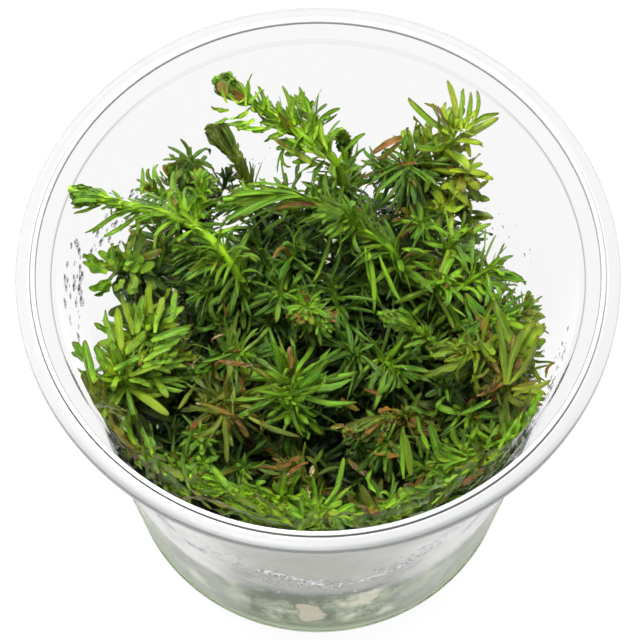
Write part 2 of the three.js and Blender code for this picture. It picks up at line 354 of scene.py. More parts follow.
def cupStretches():
    # the profile from the middle of the underside round the rim to the middle of the inside, in stretches;
    # each has one finish, up to the next one's first point
    c = cup
    wall, flange, bevel = c["wall"], c["flangeHeight"], c["bevel"]
    middle = (c["baseRadius"] - c["cornerRadius"], c["cornerRadius"])
    straight = (c["cornerRadius"] + c["straightMargin"], c["wallTopHeight"] - c["straightMargin"])
    outerSteps, innerSteps = c["cornerSteps"]
    corner = rounded(middle, c["cornerRadius"], -90, 0, outerSteps)
    innerCorner = rounded(middle, c["cornerRadius"] - wall, -90, 0, innerSteps)
    return [
        ("foot", [(0, 0), *corner[:-1]]),
        ("wall", [corner[-1], *((innerWall(height) + wall, height) for height in straight)]),
        ("collar", [(c["wallTopRadius"] + out, c["wallTopHeight"] + out) for out in (0, wall)]),
        ("skirt", [
            (c["beadInner"] + c["collarMargin"], flange - wall),
            (c["rimRadius"] - wall, flange - wall),
            (c["rimRadius"] - wall, c["skirtHeight"]),
            (c["rimRadius"], c["skirtHeight"]),
        ]),
        ("flange", [
            *rounded((c["rimRadius"] - c["lip"], flange - c["lip"]), c["lip"], 0, 90, c["lipSteps"]),
            (c["beadOuter"], flange),
            (c["beadOuter"] - bevel, c["height"] - bevel),
            (c["beadOuter"] - c["lip"], c["height"]),
            (c["beadInner"] + c["lip"], c["height"]),
            (c["beadInner"] + bevel, c["height"] - bevel),
        ]),
        ("collar", [(c["beadInner"], flange)]),
        ("ledge", [
            (c["wallTopRadius"] + 3 * bevel, c["ledgeHeight"] + bevel),
            (c["wallTopRadius"] - 2 * bevel, c["ledgeHeight"] - bevel),
        ]),
        ("fogged", [
            (c["wallTopRadius"] - wall, c["wallTopHeight"] + 2 * bevel),
            *((innerWall(height), height) for height in reversed(straight)),
            *reversed(innerCorner),
            (0, wall),
        ]),
    ]


# how the cup looks: linear colours, bend is the plastic's index of refraction
finish = dict(
    clear=(0.99, 0.99, 0.99),
    tint=(0.74, 0.742, 0.741),          # of the light through the wall
    nearTint=(0.93, 0.932, 0.931),      # and through its near side, which is seen almost edge-on
    roughness=0.02,
    bend=1.0015,            # low, so that little of the floor is mirrored in the thin wall
    rimBend=1.0005,         # the same for the thin collar and ledge
    collar=(0.86, 0.862, 0.861),
    foot=dict(colour=(0.62, 0.72, 0.50), roughness=0.2, bend=1.1, seeThrough=0.45),
)


def clearPlastic(name, colour, roughness, bend, seeThrough=1.0):
    material, shader = newMaterial(name)
    look = {"Base Color": colour, "Roughness": roughness, "IOR": bend, "Transmission Weight": seeThrough}
    feedAll(shader, look)
    return material


# fine condensation low on the wall's near side, and the line of small water beads along its lower edge,
# their rims painted white as painted highlights; noises are scale, detail and roughness
mist = dict(
    patches=(55, 4, 0.6),
    fine=(260, 3, 0.6),
    lineNoise=(130, 2, 0.5),
    near=(-10 * mm, 22 * mm),       # toward the camera, it sets in between these
    waves=24 * mm,
    top=(74.5 * mm, 83.5 * mm),     # it thins out between these heights, less its waves
    sideFall=20 * mm,               # its top is lower by this at the sides
    sideFrom=(22 * mm, 42 * mm),
    edgeWaves=26 * mm,
    edgeRise=-0.25,                 # its lower edge rises toward the sides
    edge=(46 * mm, 52 * mm),
    base=(27.5 * mm, 34.5 * mm),    # under that edge it is thin and cloudy down to the jelly
    cloudy=(0.7, 0.25),
    thinnest=0.20,
    sides=(8 * mm, 26 * mm),        # and whole at the sides
    sideWaves=12 * mm,
    sideBase=(26 * mm, 31 * mm),
    sideShare=(0.55, 0.45),
    grain=(0.7, 0.62),
    roughness=(0.32, 0.02),
    seeThrough=(-0.93, 0.998),
    whiter=(14 * mm, 40 * mm),      # it is greyer in the middle
    middleColour=(0.60, 0.608, 0.56),
    colour=(1.0, 1.0, 0.99),
    beadHighlightColour=(1.0, 1.0, 1.0),
    beadScale=760,
    beadRim=(0.08, 0.24),
    lineMiddle=50.5 * mm,
    lineHalf=(0.8 * mm, 2.2 * mm),
    lineGaps=(0.42, 0.5),
    lineClear=-0.6,
)


def beadHighlightRims(place):
    # the rims of small beads, where the white painted highlights go
    beads = addNode(place.id_data, "ShaderNodeTexVoronoi", feature="DISTANCE_TO_EDGE")
    feedAll(beads, {"Scale": mist["beadScale"], "Vector": place})
    return inverse(ramped(beads.outputs["Distance"], *mist["beadRim"]))


def foggedPlastic():
    # the wall's inside: clear at the top and the back, misted low on the near side, down to a wavy line
    material, shader = newMaterial("foggedPlastic")
    place = placeOn(shader)
    x, y, z = split(place)
    aside = size(x)
    near = ramped(times(y, -1.0), *mist["near"])
    patches = noiseAt(place, *mist["patches"])
    fine = noiseAt(place, *mist["fine"])
    upper = scaled(ramped(aside, *mist["sideFrom"]), mist["sideFall"], scaled(patches, mist["waves"], z))
    below = inverse(ramped(upper, *mist["top"]))
    edge = scaled(aside, mist["edgeRise"], scaled(patches, mist["edgeWaves"], z))
    thin = scaled(ramped(z, *mist["base"]), scaled(patches, *mist["cloudy"]), mist["thinnest"])
    sides = times(ramped(scaled(patches, mist["sideWaves"], aside), *mist["sides"]),
                  scaled(ramped(z, *mist["sideBase"]), *mist["sideShare"]))
    above = larger(ramped(edge, *mist["edge"]), larger(thin, sides))
    fog = times(times(below, above), near)
    misted = times(fog, scaled(fine, *mist["grain"]), clamp=True)
    beadLine = inverse(ramped(size(less(edge, mist["lineMiddle"])), *mist["lineHalf"]))
    gaps = ramped(noiseAt(place, *mist["lineNoise"]), *mist["lineGaps"])
    foam = times(times(beadLine, gaps), near)
    # painted highlights: white rims on the beads along the line
    beadHighlights = times(foam, beadHighlightRims(place))
    wet = larger(times(misted, scaled(foam, mist["lineClear"], 1.0)), beadHighlights)
    whiter = ramped(scaled(patches, mist["waves"], aside), *mist["whiter"])
    mistWithHighlights = mixColour(beadHighlights, mixColour(whiter, mist["middleColour"], mist["colour"]), mist["beadHighlightColour"])
    feedAll(shader, {
        "Base Color": mixColour(wet, mixColour(near, finish["tint"], finish["nearTint"]), mistWithHighlights),
        "Roughness": scaled(fog, *mist["roughness"]),
        "IOR": finish["bend"],
        "Transmission Weight": scaled(wet, *mist["seeThrough"]),
    })
    return material


def radiusAt(x, y):
    return vectorMaths("LENGTH", joined(x.id_data, x, y))


def lineAt(radius, middle, half, crisp=0.6):
    # 1 on a thin ring of that radius, 0 off it, softened outside its crisp share
    return inverse(ramped(size(less(radius, middle)), half * crisp, half))


# the flange and the bead: slightly cloudy; the bead is painted lighter as a painted highlight, the flange
# is darker toward the near edge as painted shade, and a thin grey line of painted shade runs along each
# side of the bead
flange = dict(
    near=(5 * mm, 40 * mm),
    front=(22 * mm, 46 * mm),
    frontShade=(0.80, 0.08),
    edge=(1.2 * mm, 0.2 * mm),      # inward from the rim, it darkens between these
    # the bead is painted lighter than the flat part, a painted highlight
    bead=(0.54, 0.543, 0.542),
    flat=(0.425, 0.428, 0.427),
    flatFrom=(-0.05 * mm, 0.6 * mm),
    # painted shade toward the near outer edge
    dark=(0.20, 0.208, 0.204),
    # colour of the painted shade lines along the bead
    line=(0.09, 0.095, 0.10),
    outerHalf=0.15 * mm,
    innerHalf=0.12 * mm,
    innerOffset=0.10 * mm,
    left=(20 * mm, 45 * mm),        # the outer line is stronger at the left and the front
    leftStrength=(0.25, 0.5),
    back=(15 * mm, 45 * mm),        # and fainter at the back
    backStrength=-0.3,
    nearStrength=0.4,
    innerStrength=(0.25, 0.42),
    bend=1.2,
    roughness=0.12,
    seeThrough=0.30,
)


def flangePlastic():
    material, shader = newMaterial("flangePlastic")
    x, y = split(placeOn(shader))[:2]
    radius = radiusAt(x, y)
    toward = times(y, -1.0)
    near = ramped(toward, *flange["near"])
    # painted shade: darker toward the flange's outer edge at the front
    outward = ramped(radius, *(cup["rimRadius"] - inset for inset in flange["edge"]))
    shade = times(outward, scaled(ramped(toward, *flange["front"]), *flange["frontShade"]))
    onFlat = ramped(radius, *(cup["beadOuter"] + offset for offset in flange["flatFrom"]))
    body = mixColour(shade, mixColour(onFlat, flange["bead"], flange["flat"]), flange["dark"])
    left = scaled(ramped(times(x, -1.0), *flange["left"]), *flange["leftStrength"])
    fainter = scaled(ramped(y, *flange["back"]), flange["backStrength"], left)
    strength = scaled(near, flange["nearStrength"], fainter)
    # painted shade lines along both sides of the bead
    outer = times(lineAt(radius, cup["beadOuter"], flange["outerHalf"]), strength, clamp=True)
    inner = times(lineAt(radius, cup["beadInner"] + flange["innerOffset"], flange["innerHalf"]),
                  scaled(near, *flange["innerStrength"]))
    feedAll(shader, {
        "Base Color": mixColour(larger(outer, inner), body, flange["line"]),
        "IOR": flange["bend"],
        "Roughness": flange["roughness"],
        "Transmission Weight": flange["seeThrough"],
    })
    return material


# the ledge's rounded corner has a thin grey line of painted shade where the wall turns sideways to the view
ledge = dict(aside=(24 * mm, 40 * mm), half=0.13 * mm, line=(0.26, 0.27, 0.265), seeThrough=0.99)


def ledgePlastic():
    material, shader = newMaterial("ledgePlastic")
    x, y = split(placeOn(shader))[:2]
    corner = lineAt(radiusAt(x, y), cup["wallTopRadius"], ledge["half"])
    # the painted shade line, only at the sides
    line = times(corner, ramped(size(x), *ledge["aside"]))
    feedAll(shader, {
        "Base Color": mixColour(line, finish["tint"], ledge["line"]),
        "IOR": finish["rimBend"],
        "Roughness": finish["roughness"],
        "Transmission Weight": ledge["seeThrough"],
    })
    return material


# the flange's turned-down edge is a cloudy plastic, painted grey above as painted shade, with a bright
# foot as a painted highlight
skirt = dict(
    bright=(0.80, 0.81, 0.805),
    grey=(0.42, 0.43, 0.425),
    greyFrom=(0.5 * mm, 0.9 * mm),      # above its foot
    bend=1.12,
    roughness=0.15,
    seeThrough=0.45,
)


def skirtPlastic():
    material, shader = newMaterial("skirtPlastic")
    z = split(placeOn(shader))[2]
    # painted shade above the foot, painted highlight on the foot
    upper = ramped(z, *(cup["skirtHeight"] + rise for rise in skirt["greyFrom"]))
    feedAll(shader, {
        "Base Color": mixColour(upper, skirt["bright"], skirt["grey"]),
        "IOR": skirt["bend"],
        "Roughness": skirt["roughness"],
        "Transmission Weight": skirt["seeThrough"],
    })
    return material


def makeCup():
    stretches = cupStretches()
    profile = [point for name, points in stretches for point in points]
    bands = [name for name, points in stretches for point in points]
    smooth = finish["roughness"]
    finishes = dict(
        wall=clearPlastic("clearPlastic", finish["clear"], smooth, finish["bend"]),
        fogged=foggedPlastic(),
        collar=clearPlastic("collarPlastic", finish["collar"], smooth, finish["rimBend"]),
        flange=flangePlastic(),
        ledge=ledgePlastic(),
        skirt=skirtPlastic(),
        foot=clearPlastic("footPlastic", **finish["foot"]),
    )
    mesh = turnedMesh("cultureCup", profile, cup["segments"])
    for material in finishes.values():
        mesh.materials.append(material)
    names = list(finishes)
    for k, polygon in enumerate(mesh.polygons):
        polygon.material_index = names.index(bands[k // cup["segments"]])
    mesh.set_sharp_from_angle(angle=math.radians(cup["sharpFrom"]))
    linkPiece("cultureCup", mesh, "cup")


makeCup()
print("cup made")

# cloudy green jelly with dark roots and cream lumps in it, paler toward the sides, and a lighter green
# along its foot, painted light from below
jelly = dict(
    stretch=(1.0, 1.0, 0.55),       # its clouds are longer upward
    cloud=(150, 7, 0.72),           # noises: scale, detail and roughness
    lumps=(150, 3, 0.5),
    dark=(0.15, 0.20, 0.105),
    light=(0.64, 0.72, 0.51),
    cloudy=(0.40, 0.62),
    side=(8 * mm, 28 * mm),
    sideShare=0.3,
    sideColour=(0.72, 0.78, 0.62),
    foot=(1 * mm, 11 * mm),
    litFootShare=0.8,
    litFootColour=(0.46, 0.56, 0.31),
    lumpy=(0.60, 0.68),
    lumpShare=0.85,
    lumpColours=((0.86, 0.80, 0.58), (1.0, 0.96, 0.78)),
    lumpMix=(0.40, 0.60),
    block=(-1.8 * mm, -36 * mm, 14 * mm),   # one larger cream lump lies against the near wall
    blockFlat=0.35,                 # it is longer upward
    blockRough=8 * mm,
    blockRagged=5 * mm,
    blockEdge=(7.4 * mm, 8.5 * mm),
    roughness=0.5,
    bend=1.05,
    shine=0.05,
)


def jellyMaterial():
    material, shader = newMaterial("nutrientJelly")
    place = placeOn(shader)
    x, z = split(place)[::2]
    tall = vectorMaths("MULTIPLY", place, jelly["stretch"], out="Vector")
    cloud = noiseAt(tall, *jelly["cloud"])
    lumps = noiseAt(tall, *jelly["lumps"])
    shade = mixColour(ramped(cloud, *jelly["cloudy"]), jelly["dark"], jelly["light"])
    thin = times(ramped(size(x), *jelly["side"]), jelly["sideShare"])
    shade = mixColour(thin, shade, jelly["sideColour"])
    # painted light from below: the jelly's foot is a lighter green
    foot = inverse(ramped(z, *jelly["foot"]))
    shade = mixColour(times(foot, jelly["litFootShare"]), shade, jelly["litFootColour"])
    low = jelly["blockFlat"]
    away = vectorMaths("DISTANCE", vectorMaths("MULTIPLY", place, (1.0, 1.0, low), out="Vector"),
                       (*jelly["block"][:2], jelly["block"][2] * low))
    reach = scaled(cloud, jelly["blockRagged"], scaled(lumps, jelly["blockRough"], away))
    block = inverse(ramped(reach, *jelly["blockEdge"]))
    cream = times(larger(ramped(lumps, *jelly["lumpy"]), block), jelly["lumpShare"])
    lump = mixColour(ramped(cloud, *jelly["lumpMix"]), *jelly["lumpColours"])
    feedAll(shader, {
        "Base Color": mixColour(cream, shade, lump),
        "Roughness": jelly["roughness"],
        "IOR": jelly["bend"],
        "Specular IOR Level": jelly["shine"],
    })
    return material


def makeGel():
    top, gap = gel["top"], gel["gap"]
    bottom = cup["wall"] + gap
    corner = (cup["baseRadius"] - cup["cornerRadius"], cup["cornerRadius"])
    edge = innerWall(top) - gap
    dipped = top - gel["dip"]
    clinging = top - gel["dip"] / 2
    outer, inner = gel["clingWidths"]
    profile = [
        (0, bottom),
        *rounded(corner, cup["cornerRadius"] - bottom, -90, 0, gel["cornerSteps"]),
        *((innerWall(height) - gap, height) for height in (gel["straightFrom"], clinging)),
        (edge, top),
        (edge - outer, clinging),
        (edge - inner, dipped),
        *((edge * share, dipped) for share in gel["shares"]),
        (0, dipped),
    ]
    mesh = turnedMesh("nutrientJelly", profile, gel["segments"])
    mesh.materials.append(jellyMaterial())
    linkPiece("nutrientJelly", mesh, "gel")


makeGel()
print("jelly made")

# leaf and stem colours, linear: at the leaf's foot, the blade's two greens, a yellower one, the tip and edges
tones = dict(
    bright=dict(slot="leaf_bright", foot=(0.36, 0.62, 0.012), blade=(0.060, 0.19, 0.006),
                other=(0.15, 0.34, 0.009), yellow=(0.22, 0.32, 0.010), tip=(0.045, 0.09, 0.006)),
    grass=dict(slot="leaf_bright", foot=(0.20, 0.40, 0.010), blade=(0.060, 0.17, 0.006),
               other=(0.14, 0.27, 0.008), yellow=(0.22, 0.26, 0.008), tip=(0.07, 0.06, 0.006)),
    green=dict(slot="leaf_green", foot=(0.22, 0.42, 0.010), blade=(0.045, 0.15, 0.005),
               other=(0.12, 0.28, 0.008), yellow=(0.20, 0.27, 0.008), tip=(0.05, 0.08, 0.005)),
    deep=dict(slot="leaf_deep", foot=(0.14, 0.29, 0.012), blade=(0.028, 0.092, 0.006),
              other=(0.075, 0.19, 0.010), yellow=(0.12, 0.16, 0.008), tip=(0.03, 0.05, 0.005)),
    dusk=dict(slot="leaf_deep", foot=(0.13, 0.22, 0.008), blade=(0.030, 0.050, 0.004),
              other=(0.085, 0.12, 0.006), yellow=(0.11, 0.10, 0.008), tip=(0.05, 0.035, 0.006)),
    gold=dict(slot="leaf_olive", foot=(0.30, 0.44, 0.008), blade=(0.085, 0.19, 0.005),
              other=(0.22, 0.34, 0.008), yellow=(0.26, 0.26, 0.010), tip=(0.07, 0.030, 0.006)),
    olive=dict(slot="leaf_olive", foot=(0.20, 0.31, 0.008), blade=(0.060, 0.13, 0.005),
               other=(0.15, 0.24, 0.008), yellow=(0.17, 0.17, 0.010), tip=(0.09, 0.05, 0.008)),
    brown=dict(slot="leaf_brown", foot=(0.17, 0.22, 0.010), blade=(0.045, 0.095, 0.006),
               other=(0.10, 0.15, 0.008), yellow=(0.11, 0.10, 0.010), tip=(0.09, 0.04, 0.008)),
)
dryTones = ("brown", "olive", "gold")

# what all leaves have in common
leafLook = dict(
    # a paler midrib: partly the leaf's own colour, partly a painted highlight along it
    paleRibAndHighlightColour=(0.45, 0.60, 0.25),
    paleRibAndHighlightShare=0.25,
    # old leaves and leaves deep in painted shade darken toward this
    oldAndShadedColour=(0.012, 0.029, 0.006),
    oldAndShadedShare=0.86,
    # noises: scale, detail and roughness
    mottle=(420, 3, 0.6),
    streak=(1.5, 2, 0.55),
    cells=(2600, 2, 0.6),
    pits=(1100, 2, 0.5),
    gloss=(1500, 2, 0.5),
    streakSize=(1.3, 4.5),              # along and across the leaf
    streakShift=(37.0, 11.0, 53.0),     # from leaf to leaf
    blend=(0.45, 0.55),                 # shares of the mottle and the streaks
    greens=(0.42, 0.60),                # of that blend, from the one green to the other
    pastFoot=(0.02, 0.38),              # along the leaf
    # where each shows along, across or by chance, and how strongly
    # pale streaks: partly the leaf's own striations, partly painted highlight lines
    paleStreaksAndHighlights=(0.54, 0.60, 0.7),
    paleRibsAndHighlights=(0.03, 0.2, 0.55),
    tips=(0.84, 1.0, 0.75),
    edges=(0.66, 1.0, 0.65),
    yellows=(0.7, 1.0, 0.5),
    # a withering leaf turns in patches and streaks from its green to olive, red brown and at last pale tan
    patches=(0.42, 0.58),
    patchBlend=(0.5, 0.5),
    drying=(0.6, 0.6),
    turning=dict(olive=(0.1, 0.5), rust=(0.42, 0.66), tan=(0.82, 1.1)),
    olive=(0.12, 0.135, 0.009),
    rust=((0.055, 0.020, 0.006), (0.22, 0.070, 0.012)),
    tan=(0.42, 0.35, 0.155),
    roughness=(0.30, 0.22),
    # unevenness of the leaf and of its shiny skin: share of the streaks, strength and depth
    bump=(1.4, 0.8, 0.2 * mm),
    cellShare=0.5,
    skin=(0.9, 1.0, 0.5 * mm),
    shader={
        "IOR": 1.38,
        "Specular IOR Level": 0.22,
        "Coat Weight": 0.85,
        "Coat Roughness": 0.09,
        "Coat IOR": 1.33,
        "Subsurface Weight": 0.25,
        "Subsurface Radius": (0.6, 1.0, 0.15),
        "Subsurface Scale": 0.5 * mm,
    },
)


def leafValues(tree, attribute):
    return split(addNode(tree, "ShaderNodeAttribute", attribute_name=attribute).outputs["Vector"])


def bumpOf(streak, fine, streaked, strength, depth):
    height = scaled(streak, streaked, fine)
    node = addNode(height.id_data, "ShaderNodeBump")
    feedAll(node, {"Strength": strength, "Distance": depth, "Height": height})
    return node.outputs["Normal"]


def covered(under, value, name, over):
    low, high, strength = leafLook[name]
    return mixColour(times(ramped(value, low, high), strength), under, over)


def freshColour(look, along, side, chance, shade, mottle, streak):
    across = size(side)
    mottled, streaked = leafLook["blend"]
    blend = maths("ADD", scaled(mottle, mottled, times(streak, streaked)), shade)
    blade = mixColour(ramped(blend, *leafLook["greens"]), look["blade"], look["other"])
    colour = mixColour(ramped(along, *leafLook["pastFoot"]), look["foot"], blade)
    # pale streaks and painted highlight lines along the leaf
    colour = covered(colour, streak, "paleStreaksAndHighlights", look["foot"])
    # a paler midrib with a painted highlight along it
    *width, strength = leafLook["paleRibsAndHighlights"]
    paleRibAndHighlight = [a + leafLook["paleRibAndHighlightShare"] * (b - a) for a, b in zip(look["foot"], leafLook["paleRibAndHighlightColour"])]
    colour = mixColour(times(inverse(ramped(across, *width)), strength), colour, paleRibAndHighlight)
    colour = covered(colour, along, "tips", look["tip"])
    colour = covered(colour, across, "edges", look["tip"])
    return covered(colour, chance, "yellows", look["yellow"])


def witheredColour(colour, wither, mottle, streak):
    mottled, streaked = leafLook["patchBlend"]
    patch = ramped(scaled(mottle, mottled, times(streak, streaked)), *leafLook["patches"])
    dried = times(wither, scaled(patch, *leafLook["drying"]))
    rust = mixColour(ramped(streak, *leafLook["patches"]), *leafLook["rust"])
    turning = leafLook["turning"]
    colour = mixColour(ramped(dried, *turning["olive"], smooth=False), colour, leafLook["olive"])
    colour = mixColour(ramped(dried, *turning["rust"]), colour, rust)
    return mixColour(ramped(dried, *turning["tan"]), colour, leafLook["tan"])


def leafMaterial(name, look):
    # leafPlace: how far along the leaf, how far to the side of its midrib (-1 to 1), and its own chance
    # leafState: how withered, how old and how deep in painted shade (as one darkening value), and how far
    # the leaf's own shade is off the shoot's
    material, shader = newMaterial(name)
    tree = shader.id_data
    along, side, chance = leafValues(tree, "leafPlace")
    wither, age, shade = leafValues(tree, "leafState")
    place = placeOn(shader)
    kinds = ("mottle", "cells", "pits", "gloss")
    mottle, cells, pits, gloss = (noiseAt(place, *leafLook[kind]) for kind in kinds)
    shifts = [times(chance, shift) for shift in leafLook["streakShift"]]
    stretched = [scaled(*parts) for parts in zip((along, side), leafLook["streakSize"], shifts)]
    streak = noiseAt(joined(tree, *stretched, shifts[2]), *leafLook["streak"])
    fresh = freshColour(look, along, side, chance, shade, mottle, streak)
    # darkened by age and by painted shade
    agedAndShaded = mixColour(times(age, leafLook["oldAndShadedShare"]), fresh, leafLook["oldAndShadedColour"])
    feedAll(shader, {
        "Base Color": witheredColour(agedAndShaded, wither, mottle, streak),
        "Roughness": scaled(gloss, *leafLook["roughness"]),
        "Normal": bumpOf(streak, times(cells, leafLook["cellShare"]), *leafLook["bump"]),
        # the shiny skin over it is rougher still, so that it glints in spots
        "Coat Normal": bumpOf(streak, pits, *leafLook["skin"]),
        **leafLook["shader"],
    })
    return material


leafMaterials = {name: leafMaterial(name + "Leaf", look) for name, look in tones.items()}

# whorls from the tip down: distance from the tip in mm, leaves in the whorl, leaf length share, angle to the
# stem at the leaf's foot, and how much the leaf bends outward along its length, all angles in degrees
habits = dict(
    star=dict(
        crown=[(0.2, 4, 0.22, 18, -10), (0.8, 6, 0.45, 30, 5), (1.8, 7, 0.75, 42, 10), (3.2, 8, 0.95, 56, 14),
               (5.0, 9, 1.0, 68, 10)],
        spacing=2.6, count=9, share=0.98, angle=54, bend=14, spread=30, wide=0.95, blunt=0.72, droop=0.12,
        sprigs=5, sprigsFrom=(7, 13), budShade=0.0),
    brush=dict(
        crown=[(0.3, 7, 0.5, 10, 0), (1.2, 8, 0.65, 16, 6), (2.2, 8, 0.8, 20, 14), (3.4, 9, 0.95, 24, 20),
               (4.8, 9, 1.0, 26, 28), (6.4, 9, 1.0, 28, 32)],
        spacing=2.2, count=8, share=1.0, angle=30, bend=34, spread=18, wide=0.9, blunt=0.55, droop=0.06,
        sprigs=3, sprigsFrom=(7, 13), budShade=0.0),
    bud=dict(
        crown=[(1.5, 5, 0.18, 22, -20), (2.6, 7, 0.3, 26, -30), (4.0, 9, 0.46, 29, -38),
               (5.4, 9, 0.62, 29, -38), (6.8, 9, 0.76, 26, -34), (8.2, 8, 0.34, 13, -6),
               (9.4, 8, 0.36, 14, -4), (10.6, 8, 0.38, 14, 0), (11.8, 8, 0.38, 15, 2),
               (13.0, 8, 0.42, 16, 6), (14.2, 8, 0.48, 18, 10), (15.4, 8, 0.6, 22, 16),
               (16.8, 9, 0.8, 28, 22)],
        spacing=2.0, count=9, share=0.95, angle=28, bend=34, spread=22, wide=0.95, blunt=0.55, droop=0.08,
        sprigs=2, sprigsFrom=(22, 28), budShade=-0.35),
    sheaf=dict(
        crown=[(4.0, 6, 0.5, 8, -8), (5.5, 8, 0.65, 11, -10), (7.2, 8, 0.8, 14, -12), (9.0, 8, 0.95, 16, -10),
               (11.0, 8, 1.0, 16, -4), (13.0, 8, 1.0, 18, 8)],
        spacing=2.2, count=8, share=1.0, angle=24, bend=34, spread=12, wide=1.0, blunt=0.6, droop=0.05,
        sprigs=1, sprigsFrom=(22, 28), budShade=-0.1),
)

# traits that a shoot has unless its own row says otherwise
usualTraits = dict(stem=1, wide=1, fuller=1, curled=0.18, dark=0, budDark=0)


def shootOf(habit):
    # a maker of that habit's shoots, from tone, longest leaf and route in mm: the first point is on the
    # jelly, the last is the tip, which leans sideways by lean; sweep is the way its leaves are brushed
    def make(tone, leaf, *route, **traits):
        return dict(usualTraits, habit=habit, tone=tone, leaf=leaf, route=route, **traits)
    return make


star, brush, bud, sheaf = (shootOf(habit) for habit in ("star", "brush", "bud", "sheaf"))

